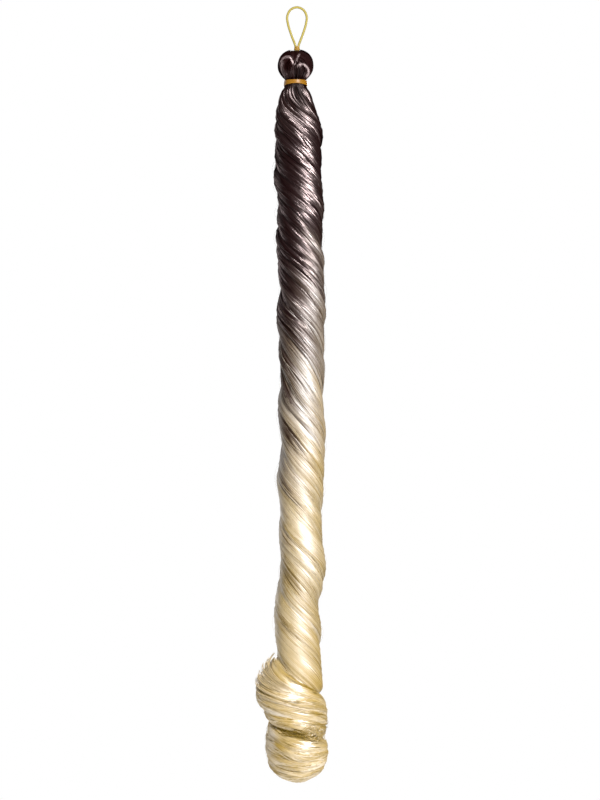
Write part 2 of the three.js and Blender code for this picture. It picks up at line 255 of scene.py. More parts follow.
@dataclass(frozen=True)
class HankForm:
    """The outer form of the hank: six locks twisted round one swaying axis.

    Angles are in degrees from the front towards +X, with the twist taken out.
    """

    tight_radius: float = 8.3
    loose_radius: float = 16.0
    tight_groove: float = 0.5
    loose_groove: float = 2.1
    faded_fills: Row = (0.0, 0.8, 0.7, 0.1, 0.85, 0.7)
    fade_span: Span = (240.0, 420.0)
    least_reach: float = 0.4
    slope_step: float = 4.0
    slope_reach: float = 4.0
    roundness: float = 2.6
    sections: SmoothTable = SmoothTable(
        names=("drop", "radius", "sway"),
        rows=(
            (61.7, 8.2, -1.1), (63.4, 8.4, -1.1), (65.6, 9.5, -1.1), (68.0, 11.6, -1.1), (74.0, 14.6, -0.8),
            (84.0, 17.0, -0.2), (98.0, 19.6, 1.6), (114.0, 18.9, 1.1), (140.0, 19.6, 1.2),
            (165.0, 18.8, 3.3), (190.0, 18.6, 1.8), (206.0, 19.5, 2.7), (230.0, 19.0, 4.2),
            (249.0, 20.6, 2.9), (268.0, 18.4, 3.2), (284.0, 18.6, 3.9), (306.0, 17.1, 4.1),
            (326.0, 19.0, 2.5), (352.0, 18.4, 5.0), (384.0, 19.1, 2.6), (410.0, 17.6, 3.2),
            (429.0, 17.2, 2.4), (454.0, 18.4, 4.8), (474.0, 18.2, 2.4), (487.0, 18.0, -0.2),
            (512.0, 18.7, 0.9), (538.0, 18.2, 2.3), (552.0, 17.2, 4.2), (560.0, 13.6, 6.2),
            (565.5, 4.0, 7.2),
        ),
    )
    turns: SmoothTable = SmoothTable(
        names=("drop", "turn"),
        rows=(
            (50.0, 0.0), (61.4, 0.0), (73.4, 11.0), (85.4, 45.0), (200.0, 463.0),
            (265.0, 676.0), (310.0, 800.0), (360.0, 934.0), (420.0, 1119.0), (566.0, 1612.0),
        ),
    )
    locks: Rows = (
        (73.0, 0.7, 118.0, 20.0),
        (152.0, 0.5, 150.0, 210.0),
        (198.0, 0.8, 135.0, 300.0),
        (240.0, 0.9, 160.0, 100.0),
        (305.0, 0.6, 126.0, 160.0),
        (350.0, 1.0, 144.0, 60.0),
    )

    def lock_span(self, lock: int) -> Span:
        """Gives the angles of the two grooves beside a lock.

        Args:
            lock: Which lock.

        Returns:
            The angle where it starts and the angle where it ends, in degrees.
        """
        start = self.locks[lock][0]
        width = (self.locks[(lock + 1) % len(self.locks)][0] - start) % 360.0
        return start, start + width

    def twist(self, drop: Array) -> Array:
        """Gives how far the locks have turned at a drop, in degrees."""
        return self.turns.read("turn", drop)

    def radius(self, angle: Array, drop: Array) -> Array:
        """Gives the distance from the axis to the surface of the locks.

        Args:
            angle: Degrees with the twist taken out.
            drop: Distance below the loop's inside top.

        Returns:
            The radius in millimetres.
        """
        table = np.array(self.locks)
        grooves = table[:, 0]
        turned = np.mod(angle, 360.0)
        lock = np.mod(np.searchsorted(grooves, turned, side="right") - 1, len(grooves))
        width = np.mod(np.roll(grooves, -1) - grooves, 360.0)[lock]
        share = np.mod(turned - grooves[lock], 360.0) / width
        scallop = np.abs(2.0 * share - 1.0) ** self.roundness
        base = self.sections.read("radius", drop)
        loose = smoothstep(base, self.tight_radius, self.loose_radius)
        wave = np.sin(2.0 * np.pi * drop / table[lock, 2] + np.radians(table[lock, 3]))
        groove = np.where(share < 0.5, lock, np.mod(lock + 1, len(grooves)))
        soft = 1.0 - np.array(self.faded_fills)[groove] * smoothstep(drop, *self.fade_span)
        fall = self.tight_groove + (self.loose_groove * soft - self.tight_groove) * loose
        return base + loose * table[lock, 1] * wave * (1.0 - scallop) - fall * scallop

    def place(self, angle: Array, drop: Array, lift: Array) -> tuple[Array, Array]:
        """Places points on the hank.

        Args:
            angle: Degrees with the twist taken out.
            drop: Distance below the loop's inside top.
            lift: Height over the surface, negative below it.

        Returns:
            The points and the directions that point outward there.
        """
        turned = angle + self.twist(drop)
        reach = np.maximum(self.radius(angle, drop) + lift, self.least_reach)
        points = around(turned, reach, drop, self.sections.read("sway", drop))
        step = self.slope_step
        rise = self.radius(angle + step, drop) - self.radius(angle - step, drop)
        lean = np.degrees(np.arctan(rise / (2.0 * np.radians(step) * np.maximum(reach, self.slope_reach))))
        return points, outward_at(turned - lean)


@dataclass(frozen=True)
class CurlForm:
    """The outer form of the curl: a band of four locks wound down round an upright axis."""

    centre_y: float = 2.0
    slope_step: float = 2.0
    least_swell: float = 2.0
    places: Row = (-1.0, -0.35, 0.3, 1.0)
    stations: SmoothTable = SmoothTable(
        names=("angle", "drop", "reach", "centre", "fan", "lean", "bow", "thick"),
        rows=(
            (-300, 528.0, 7.0, 1.0, 5.0, 0.0, 0.0, 6.0),
            (-190, 545.0, 13.5, -1.5, 10.0, -1.0, 3.0, 7.6),
            (-90, 558.2, 21.6, -3.6, 16.2, -0.6, 8.6, 9.0),
            (0, 568.6, 18.4, -2.6, 12.1, -0.5, 2.0, 9.0),
            (90, 581.0, 16.4, 0.2, 8.8, 0.0, 1.0, 8.6),
            (180, 591.0, 15.4, 0.0, 9.0, 0.4, 1.0, 8.6),
            (270, 602.8, 16.6, -0.6, 12.2, 0.2, 1.6, 8.8),
            (360, 612.4, 15.8, 0.0, 10.6, 2.4, 2.0, 8.8),
            (450, 612.5, 16.6, 0.6, 7.0, 1.4, 1.4, 8.2),
            (540, 614.0, 12.0, 0.6, 6.0, 2.0, 1.0, 7.6),
            (620, 620.0, 6.0, 0.6, 2.5, 1.0, 0.0, 6.0),
        ),
    )

    def middle(self, place: Array, angle: Array) -> Array:
        """Gives the middle line of a strand of the band.

        Args:
            place: Where the strand lies across the band, from -1 at its top edge to 1 at its bottom edge.
            angle: Degrees wound from the front towards +X.

        Returns:
            The points of the middle line.
        """
        read = self.stations.read
        reach = read("reach", angle) - place * read("lean", angle) - place * place * read("bow", angle)
        drop = read("drop", angle) + place * read("fan", angle)
        return around(angle, reach, drop, read("centre", angle), self.centre_y)

    def place(self, place: Array, angle: Array, roll: Array, lift: Array) -> tuple[Array, Array]:
        """Places points on the outside of the band.

        Args:
            place: Where the strand lies across the band, from -1 to 1.
            angle: Degrees wound from the front towards +X.
            roll: Degrees round the strand from outward towards up.
            lift: Height over the surface, negative below it.

        Returns:
            The points and the directions that point outward there.
        """
        middle = self.middle(place, angle)
        step = self.slope_step
        along = unit(self.middle(place, angle + step) - self.middle(place, angle - step))
        across = unit(np.cross(outward_at(angle), along))
        outward = unit(np.cross(along, across))
        centres = np.array(self.places)
        gap = np.abs(place[..., None] - centres).min(axis=-1) * self.stations.read("fan", angle)
        thick = self.stations.read("thick", angle)
        swell = np.sqrt(np.maximum(thick * thick - gap * gap, self.least_swell**2)) + lift
        tilt = np.radians(roll)[..., None]
        facing = np.cos(tilt) * outward + np.sin(tilt) * across
        return middle + facing * swell[..., None], facing


@dataclass(frozen=True)
class HeadForm:
    """The outer form of the folded head: a ball that narrows into the tie, with a parting at its front."""

    top: float = 33.8
    equator: float = 46.9
    neck: float = 58.4
    ball_radius: float = 14.5
    neck_radius: float = 8.3
    centre_x: float = -1.1
    fullness: float = 2.3
    taper: float = 2.2
    parting_angle: float = -6.0
    parting_length: float = 12.0
    parting_width: float = 6.0
    parting_depth: float = 1.4
    parting_close: float = 0.35
    slope_step: float = 0.2
    steepest: float = 6.0

    def radius(self, drop: Array) -> Array:
        """Gives the distance from the axis to the ball's surface.

        Args:
            drop: Distance below the loop's inside top.

        Returns:
            The radius in millimetres, without the parting.
        """
        rise = np.clip((self.equator - drop) / (self.equator - self.top), 0.0, 1.0)
        fall = np.clip((drop - self.equator) / (self.neck - self.equator), 0.0, 1.0)
        dome = self.ball_radius * (1.0 - rise**self.fullness) ** (1.0 / self.fullness)
        below = self.neck_radius + (self.ball_radius - self.neck_radius) * (1.0 - fall**self.taper)
        return np.where(drop < self.equator, dome, below)

    def dent(self, angle: Array, drop: Array) -> Array:
        """Gives how deep the parting lies under the ball's surface.

        Args:
            angle: Degrees from the front towards +X.
            drop: Distance below the loop's inside top.

        Returns:
            The depth in millimetres, 0 outside the parting.
        """
        open_share = np.clip(1.0 - (drop - self.top) / self.parting_length, 0.0, 1.0)
        half = np.maximum(open_share * self.parting_width / 2.0, 1e-6)
        turn = np.mod(angle - self.parting_angle + 180.0, 360.0) - 180.0
        sideways = np.abs(np.radians(turn)) * np.maximum(self.radius(drop), 1.0)
        fall = self.parting_depth * np.clip(1.0 - sideways / half, 0.0, 1.0)
        return fall * smoothstep(open_share, 0.0, self.parting_close)

    def place(self, angle: Array, drop: Array, lift: Array) -> tuple[Array, Array]:
        """Places points on the head.

        Args:
            angle: Degrees from the front towards +X.
            drop: Distance below the loop's inside top.
            lift: Height over the surface, negative below it.

        Returns:
            The points and the directions that point outward there.
        """
        step = self.slope_step
        slope = (self.radius(drop + step) - self.radius(drop - step)) / (2.0 * step)
        facing = unit(around(angle, np.ones_like(slope), -np.clip(slope, -self.steepest, self.steepest)))
        points = around(angle, self.radius(drop) - self.dent(angle, drop), drop, self.centre_x)
        return points + facing * np.asarray(lift)[..., None], facing


class Graph:
    """A material's node tree, with short calls to add and link its nodes."""

    def __init__(self, name: str) -> None:
        """Starts an empty material with its shader.

        Args:
            name: The material's name.
        """
        self.material = bpy.data.materials.new(name)
        self.material.use_nodes = True
        self.tree = self.material.node_tree
        self.shader = self.tree.nodes["Principled BSDF"]

    def node(self, kind: str, **settings: object) -> ShaderNode:
        """Adds a node.

        Args:
            kind: The node's type name.
            **settings: Its properties.

        Returns:
            The new node.
        """
        made = self.tree.nodes.new(kind)
        for key, value in settings.items():
            setattr(made, key, value)
        return made

    def link(self, source: Socket, target: Socket) -> None:
        """Links two sockets."""
        self.tree.links.new(source, target)

    def trait(self, trait: Trait) -> Socket:
        """Reads a number that the mesh carries at every point."""
        made = self.node("ShaderNodeAttribute", attribute_name=trait.value, attribute_type="GEOMETRY")
        return made.outputs["Fac"]

    def sum(self, source: Socket, factor: float, extra: object) -> Socket:
        """Multiplies a value and adds another to it.

        Args:
            source: The value.
            factor: What it is multiplied by.
            extra: A number or a socket that is added.

        Returns:
            The result.
        """
        made = self.node("ShaderNodeMath", operation="MULTIPLY_ADD")
        self.link(source, made.inputs[0])
        made.inputs[1].default_value = factor
        if isinstance(extra, (int, float)):
            made.inputs[2].default_value = extra
        else:
            self.link(extra, made.inputs[2])
        return made.outputs[0]

    def range(self, source: Socket, to: Span, start: Span) -> Socket:
        """Stretches a value from one range to another.

        Args:
            source: The value.
            to: The new range.
            start: The old range.

        Returns:
            The stretched value.
        """
        made = self.node("ShaderNodeMapRange")
        self.link(source, made.inputs["Value"])
        made.inputs["From Min"].default_value, made.inputs["From Max"].default_value = start
        made.inputs["To Min"].default_value, made.inputs["To Max"].default_value = to
        return made.outputs["Result"]

    def ramp(self, source: Socket, stops: Stops) -> ShaderNode:
        """Adds a ramp of colours.

        Args:
            source: Where it is read, from 0 to 1.
            stops: The places and the colours there, from first to last.

        Returns:
            The new node.
        """
        made = self.node("ShaderNodeValToRGB")
        elements = made.color_ramp.elements
        for element, (place, colour) in zip(elements, (stops[0], stops[-1])):
            element.position, element.color = place, colour
        for place, colour in stops[1:-1]:
            elements.new(place).color = colour
        self.link(source, made.inputs["Fac"])
        return made

    def noise(self, scale: float, detail: float) -> ShaderNode:
        """Adds a noise texture.

        Args:
            scale: How fine it is.
            detail: How many finer layers it has.

        Returns:
            The new node.
        """
        made = self.node("ShaderNodeTexNoise")
        made.inputs["Scale"].default_value = scale
        made.inputs["Detail"].default_value = detail
        return made

    def bump(self, height: Socket, strength: float, distance: float) -> None:
        """Raises the shader's surface by a height.

        Args:
            height: The height, from 0 to 1.
            strength: How much of it shows.
            distance: How high 1 is, in millimetres.
        """
        made = self.node("ShaderNodeBump")
        made.inputs["Strength"].default_value = strength
        made.inputs["Distance"].default_value = distance * MM
        self.link(height, made.inputs["Height"])
        self.link(made.outputs["Normal"], self.shader.inputs["Normal"])


@dataclass(frozen=True)
class HairFinish:
    """Glossy hair that fades along its length, with streaks that run along the strands.

    The stops give the hair's colour along the fade. The gloss stops give the tint of its gloss, with the
    roughness that is added there as the fourth number.
    """

    name: str
    stops: tuple[tuple[float, tuple[int, int, int]], ...]
    tones: Span = (-2.0, 1.0)
    tone_range: Span = (0.1, 1.45)
    saturation: Span = (2.0, 0.8)
    roughness: Span = (0.22, 0.4)
    rough_tones: Span = (1.0, -1.0)
    streaks_per_mm: float = 5.0
    streak_stretch: float = 0.035
    streak_shades: Span = (-0.4, 0.4)
    streak_detail: float = 3.0
    streak_span: Span = (0.25, 0.75)
    relief_strength: float = 0.2
    relief: float = 0.03
    specular: float = 1.0
    refraction: float = 2.5
    gloss_share: Span = (0.08, 1.0)
    gloss_tones: Span = (-1.2, 0.35)
    gloss_stops: Stops = (
        (0.0, (0.46, 0.37, 0.37, 0.0)),
        (0.12, (0.5, 0.43, 0.41, 0.13)),
        (0.5, (0.8, 0.81, 0.84, 0.28)),
        (0.9, (0.93, 0.955, 1.03, 0.25)),
        (1.0, (0.92, 0.94, 1.0, 0.16)),
    )

    def make(self) -> Material:
        """Makes the material.

        Returns:
            The material.
        """
        graph = Graph(self.name)
        ombre = graph.trait(Trait.OMBRE)
        ramp = graph.ramp(ombre, tuple((place, linear(colour)) for place, colour in self.stops))
        lay = graph.node("ShaderNodeCombineXYZ")
        graph.link(graph.sum(graph.trait(Trait.ACROSS), self.streaks_per_mm, 0.0), lay.inputs["X"])
        graph.link(graph.sum(graph.trait(Trait.ALONG), self.streak_stretch, 0.0), lay.inputs["Y"])
        streak = graph.noise(1.0, self.streak_detail)
        graph.link(lay.outputs["Vector"], streak.inputs["Vector"])
        streaks = graph.range(streak.outputs["Fac"], self.streak_shades, self.streak_span)
        tone = graph.sum(streaks, 1.0, graph.trait(Trait.TONE))
        value = graph.node("ShaderNodeHueSaturation")
        graph.link(ramp.outputs["Color"], value.inputs["Color"])
        graph.link(graph.range(tone, self.tone_range, self.tones), value.inputs["Value"])
        graph.link(graph.range(tone, self.saturation, self.tones), value.inputs["Saturation"])
        graph.link(value.outputs["Color"], graph.shader.inputs["Base Color"])
        rough = graph.range(tone, self.roughness, self.rough_tones)
        gloss = graph.ramp(ombre, self.gloss_stops)
        graph.link(graph.sum(gloss.outputs["Alpha"], 1.0, rough), graph.shader.inputs["Roughness"])
        sheen = graph.node("ShaderNodeVectorMath", operation="SCALE")
        graph.link(gloss.outputs["Color"], sheen.inputs[0])
        graph.link(graph.range(tone, self.gloss_share, self.gloss_tones), sheen.inputs["Scale"])
        graph.link(sheen.outputs["Vector"], graph.shader.inputs["Specular Tint"])
        graph.bump(streak.outputs["Fac"], self.relief_strength, self.relief)
        graph.shader.inputs["Specular IOR Level"].default_value = self.specular
        graph.shader.inputs["IOR"].default_value = self.refraction
        return graph.material


@dataclass(frozen=True)
class ElasticFinish:
    """Covered elastic: fine threads wound round a stretchy core."""

    name: str
    light: tuple[int, int, int]
    dark: tuple[int, int, int]
    threads_per_mm: float = 3.0
    slant: float = 0.02
    thread_share: float = 0.08
    grain: float = 1500.0
    grain_detail: float = 3.0
    grain_share: Span = (0.3, 0.7)
    grain_span: Span = (0.25, 0.75)
    roughness: Span = (0.28, 0.5)
    rough_span: Span = (0.3, 0.7)
    relief_strength: float = 0.15
    relief: float = 0.04
    specular: float = 0.5

    def make(self) -> Material:
        """Makes the material.

        Returns:
            The material.
        """
        graph = Graph(self.name)
        slant = graph.sum(graph.trait(Trait.ACROSS), self.slant, 0.0)
        phase = graph.sum(graph.trait(Trait.ALONG), self.threads_per_mm * 2.0 * math.pi, slant)
        wave = graph.node("ShaderNodeMath", operation="SINE")
        graph.link(phase, wave.inputs[0])
        place = graph.node("ShaderNodeTexCoord")
        patch = graph.noise(self.grain, self.grain_detail)
        graph.link(place.outputs["Object"], patch.inputs["Vector"])
        patches = graph.range(patch.outputs["Fac"], self.grain_share, self.grain_span)
        mixed = graph.sum(wave.outputs[0], self.thread_share, patches)
        ramp = graph.ramp(mixed, ((0.0, linear(self.dark)), (1.0, linear(self.light))))
        graph.link(ramp.outputs["Color"], graph.shader.inputs["Base Color"])
        rough = graph.range(patch.outputs["Fac"], self.roughness, self.rough_span)
        graph.link(rough, graph.shader.inputs["Roughness"])
        graph.bump(wave.outputs[0], self.relief_strength, self.relief)
        graph.shader.inputs["Specular IOR Level"].default_value = self.specular
        return graph.material


def placed(name: str, data: bpy.types.ID) -> bpy.types.Object:
    """Puts an object into the scene.

    Args:
        name: Its name.
        data: Its mesh, light or camera.

    Returns:
        The new object.
    """
    made = bpy.data.objects.new(name, data)
    bpy.context.scene.collection.objects.link(made)
    return made


@dataclass
class Shape:
    """A mesh in the making: points in millimetres, faces, and the numbers that each point carries."""

    points: Array
    quads: Array
    triangles: Array = field(default_factory=lambda: np.zeros((0, 3), dtype=int))
    traits: dict[Trait, Array] = field(default_factory=dict)
    normals: Array | None = None
    strips: Array | None = None

    @staticmethod
    def joined(shapes: list["Shape"]) -> "Shape":
        """Puts several shapes into one.

        Args:
            shapes: The shapes, which carry the same numbers.

        Returns:
            The joined shape.
        """
        starts = np.cumsum([0] + [len(shape.points) for shape in shapes[:-1]])
        bare = shapes[0].normals is None
        return Shape(
            points=np.concatenate([shape.points for shape in shapes]),
            quads=np.concatenate([shape.quads + start for shape, start in zip(shapes, starts)]),
            triangles=np.concatenate([shape.triangles + start for shape, start in zip(shapes, starts)]),
            traits={
                trait: np.concatenate([shape.traits[trait] for shape in shapes])
                for trait in shapes[0].traits
            },
            normals=None if bare else np.concatenate([shape.normals for shape in shapes]),
        )

    def mesh(self, name: str) -> bpy.types.Mesh:
        """Makes the Blender mesh.

        Args:
            name: The mesh's name.

        Returns:
            The mesh in metres, smooth, with its numbers as point attributes.
        """
        made = bpy.data.meshes.new(name)
        corners = np.concatenate((self.quads.ravel(), self.triangles.ravel())).astype(np.int32)
        sizes = np.concatenate((np.full(len(self.quads), 4), np.full(len(self.triangles), 3)))
        made.vertices.add(len(self.points))
        made.vertices.foreach_set("co", (self.points * MM).astype(np.float32).ravel())
        made.loops.add(len(corners))
        made.loops.foreach_set("vertex_index", corners)
        made.polygons.add(len(sizes))
        made.polygons.foreach_set("loop_start", np.concatenate(([0], np.cumsum(sizes)[:-1])).astype(np.int32))
        made.polygons.foreach_set("use_smooth", np.ones(len(sizes), dtype=bool))
        for trait, values in self.traits.items():
            layer = made.attributes.new(trait.value, "FLOAT", "POINT")
            layer.data.foreach_set("value", values.astype(np.float32).ravel())
        if self.strips is not None:
            layer = made.uv_layers.new(name=STRIP_MAP)
            layer.data.foreach_set("uv", self.strips.astype(np.float32).ravel())
        made.update(calc_edges=True)
        made.validate()
        if self.normals is not None:
            made.normals_split_custom_set_from_vertices(self.normals.tolist())
        return made

    def piece(self, name: str, finish: Material, slot: Slot, *nodes: Node) -> bpy.types.Object:
        """Makes the shape a piece of the object.

        Args:
            name: The piece's name.
            finish: Its material.
            slot: The record's slot; not used.
            *nodes: The solids that it stands for.

        Returns:
            The new object.
        """
        made = placed(name, self.mesh(name))
        made.data.materials.append(finish)
        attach(made, BODY)
        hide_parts(*[node.value for node in nodes])
        LOG.info("%s: %d triangles", name, 2 * len(self.quads) + len(self.triangles))
        return made


def grid_shape(points: Array, traits: dict[Trait, Array], closed_rows: bool = False) -> Shape:
    """Makes a closed skin over rings of points.

    Args:
        points: The points, by ring and then round the ring, counterclockwise seen against the rings' order.
        traits: The numbers of each point, in the same order.
        closed_rows: Whether the last ring joins the first one. Otherwise the ends are closed by fans.

    Returns:
        The shape.
    """
    rows, columns = points.shape[:2]
    ids = np.arange(rows * columns).reshape(rows, columns)
    upper = ids if closed_rows else ids[:-1]
    lower = np.roll(ids, -1, axis=0) if closed_rows else ids[1:]
    quads = np.stack((upper, np.roll(upper, -1, 1), np.roll(lower, -1, 1), lower), axis=-1).reshape(-1, 4)
    flat = points.reshape(-1, 3)
    values = {trait: np.broadcast_to(value, (rows, columns)).ravel() for trait, value in traits.items()}
    if closed_rows:
        return Shape(flat, quads, traits=values)
    poles = np.stack((points[0].mean(axis=0), points[-1].mean(axis=0)))
    first, last = len(flat), len(flat) + 1
    top = np.stack((np.roll(ids[0], -1), ids[0], np.full(columns, first)), axis=-1)
    end = np.stack((ids[-1], np.roll(ids[-1], -1), np.full(columns, last)), axis=-1)
    values = {
        trait: np.concatenate((value, (value[:columns].mean(), value[-columns:].mean())))
        for trait, value in values.items()
    }
    return Shape(np.concatenate((flat, poles)), quads, np.concatenate((top, end)), values)


def tube_shape(path: Array, radius: Array, sides: int) -> Shape:
    """Makes a round tube along a path.

    Args:
        path: The points that it follows.
        radius: Its radius at each of them, by point or by point and side.
        sides: How many sides it has.

    Returns:
        The shape, whose numbers are the length along it in millimetres and the degrees round it.
    """
    along = unit(np.gradient(path, axis=0))
    sideways = np.empty_like(path)
    start = np.array((0.0, 1.0, 0.0)) if abs(along[0][1]) < 0.9 else np.array((1.0, 0.0, 0.0))
    for row, step in enumerate(along):
        start = unit(start - step * np.dot(start, step))
        sideways[row] = start
    upward = np.cross(along, sideways)
    turn = circle(sides)
    spread = np.broadcast_to(np.reshape(radius, (len(path), -1)), (len(path), sides))[..., None]
    lean = np.radians(turn)[None, :, None]
    points = path[:, None] + spread * (np.cos(lean) * sideways[:, None] + np.sin(lean) * upward[:, None])
    return grid_shape(points, {Trait.ALONG: lengths(path)[:, None], Trait.ACROSS: turn[None, :]})


@dataclass
class Fibres:
    """Fibres with the same number of points, as arrays by fibre and then by point."""

    points: Array
    outward: Array
    width: Array | float
    ombre: Array
    tone: Array
    tilt: Array | float = 0.0
    edge_lean: float = 26.0
    faded_lean: float = 12.0
    ridge_height: float = 0.3
    base_depth: float = 0.1
    streak_step: float = 7.31

    def spread(self, values: Array) -> Array:
        """Gives a number by fibre and point to each of the strands' corners."""
        return np.repeat(np.broadcast_to(values, self.points.shape[:2]).ravel(), 3)

    def shape(self) -> Shape:
        """Makes each fibre a closed three-sided strand with its ridge outward.

        Returns:
            The joined shape, whose faces come fibre by fibre.
        """
        count, steps = self.points.shape[:2]
        along = unit(np.gradient(self.points, axis=1))
        side = unit(np.cross(along, self.outward))
        facing = np.cross(side, along)
        width = np.broadcast_to(self.width, (count, steps))[..., None]
        ridge = self.points + facing * width * self.ridge_height
        base = self.points - facing * width * self.base_depth
        corners = np.stack((ridge, base + side * width / 2, base - side * width / 2), axis=2)
        tilt = np.broadcast_to(self.tilt, (count, steps))[..., None]
        sheen = unit(facing + tilt * along)
        faded = np.broadcast_to(self.ombre, (count, steps))[..., None]
        lean = np.radians(self.edge_lean + (self.faded_lean - self.edge_lean) * faded)
        slant = (side * np.sin(lean), sheen * np.cos(lean))
        normals = np.stack((sheen, slant[1] + slant[0], slant[1] - slant[0]), axis=2)
        ids = np.arange(count * steps * 3).reshape(count, steps, 3)
        turned = np.roll(ids, -1, axis=2)
        quads = np.stack((ids[:, :-1], turned[:, :-1], turned[:, 1:], ids[:, 1:]), axis=-1).reshape(-1, 4)
        caps = np.stack((ids[:, 0, ::-1], ids[:, -1]), axis=1).reshape(-1, 3)
        length = np.cumsum(np.linalg.norm(np.gradient(self.points, axis=1), axis=-1), axis=1)
        apart = (np.arange(count) * self.streak_step)[:, None, None] + width * np.array((0.0, 0.5, -0.5))
        return Shape(
            points=corners.reshape(-1, 3),
            quads=quads,
            triangles=caps,
            traits={
                Trait.OMBRE: self.spread(self.ombre),
                Trait.TONE: self.spread(self.tone),
                Trait.ACROSS: apart.ravel(),
                Trait.ALONG: self.spread(length),
            },
            normals=normals.reshape(-1, 3),
        )


@dataclass
class FibreMesh:
    """One joined mesh of batches of fibres, with a strip of the baking map for each fibre."""

    batches: list[Fibres]
    strips_per_row: int = 180
    side_margin: float = 0.08
    end_margin: float = 0.004

    def shape(self) -> Shape:
        """Joins the batches and lays out the strips.

        Returns:
            The joined shape.
        """
        shape = Shape.joined([batch.shape() for batch in self.batches])
        total = sum(len(batch.points) for batch in self.batches)
        rows = math.ceil(total / self.strips_per_row)
        columns = math.ceil(total / rows)
        quad_maps, cap_maps, first = [], [], 0
        for batch in self.batches:
            count, steps = batch.points.shape[:2]
            strip = np.arange(first, first + count)
            first += count
            left = (strip % columns) / columns
            bottom = (strip // columns) / rows
            sides = np.linspace(self.side_margin, 1.0 - self.side_margin, 4)
            ends = np.linspace(self.end_margin, 1.0 - self.end_margin, steps)
            across = left[:, None] + sides[None, :] / columns
            up = bottom[:, None] + ends[None, :] / rows
            u = np.broadcast_to(across[:, None, :], (count, steps - 1, 4))
            low = np.broadcast_to(up[:, :-1, None], (count, steps - 1, 3))
            high = np.broadcast_to(up[:, 1:, None], (count, steps - 1, 3))
            near, far = u[..., :-1], u[..., 1:]
            corners = ((near, low), (far, low), (far, high), (near, high))
            quad_maps.append(np.stack([np.stack(pair, axis=-1) for pair in corners], axis=-2).reshape(-1, 2))
            rims = np.stack((up[:, 0], up[:, -1]), axis=1)[:, :, None]
            lips = np.broadcast_to(across[:, None, :3], (count, 2, 3))
            cap_maps.append(np.stack((lips, np.broadcast_to(rims, lips.shape)), axis=-1).reshape(-1, 2))
        shape.strips = np.concatenate(quad_maps + cap_maps)
        return shape


def ombre_at(drop: Array, shift: Array | float, right: Array | float = 0.0) -> Array:
    """Gives how far the hair has faded from dark to blonde.

    Args:
        drop: Distance below the loop's inside top.
        shift: How much lower this strand fades, in millimetres.
        right: How far round to the lit right side it lies, where the fade is painted earlier as painted
            light, from 0 to 1.

    Returns:
        A share from 0, dark, to 0.96, golden blonde.
    """
    at = drop - shift
    # Painted light and shade: the fade is painted earlier on the lit right side.
    lit_side_ahead = 28.0 * right * (1.0 - 0.8 * smoothstep(drop, 212.0, 262.0))
    early = 0.5 * smoothstep(at + lit_side_ahead, 185.0, 325.0)
    late = 0.4 * smoothstep(at, 284.0, 406.0)
    last = 0.06 * smoothstep(drop, 470.0, 560.0)
    ruffled = 0.015 * (1.0 - smoothstep(drop, 84.0, 110.0))
    return ruffled + early + late + last


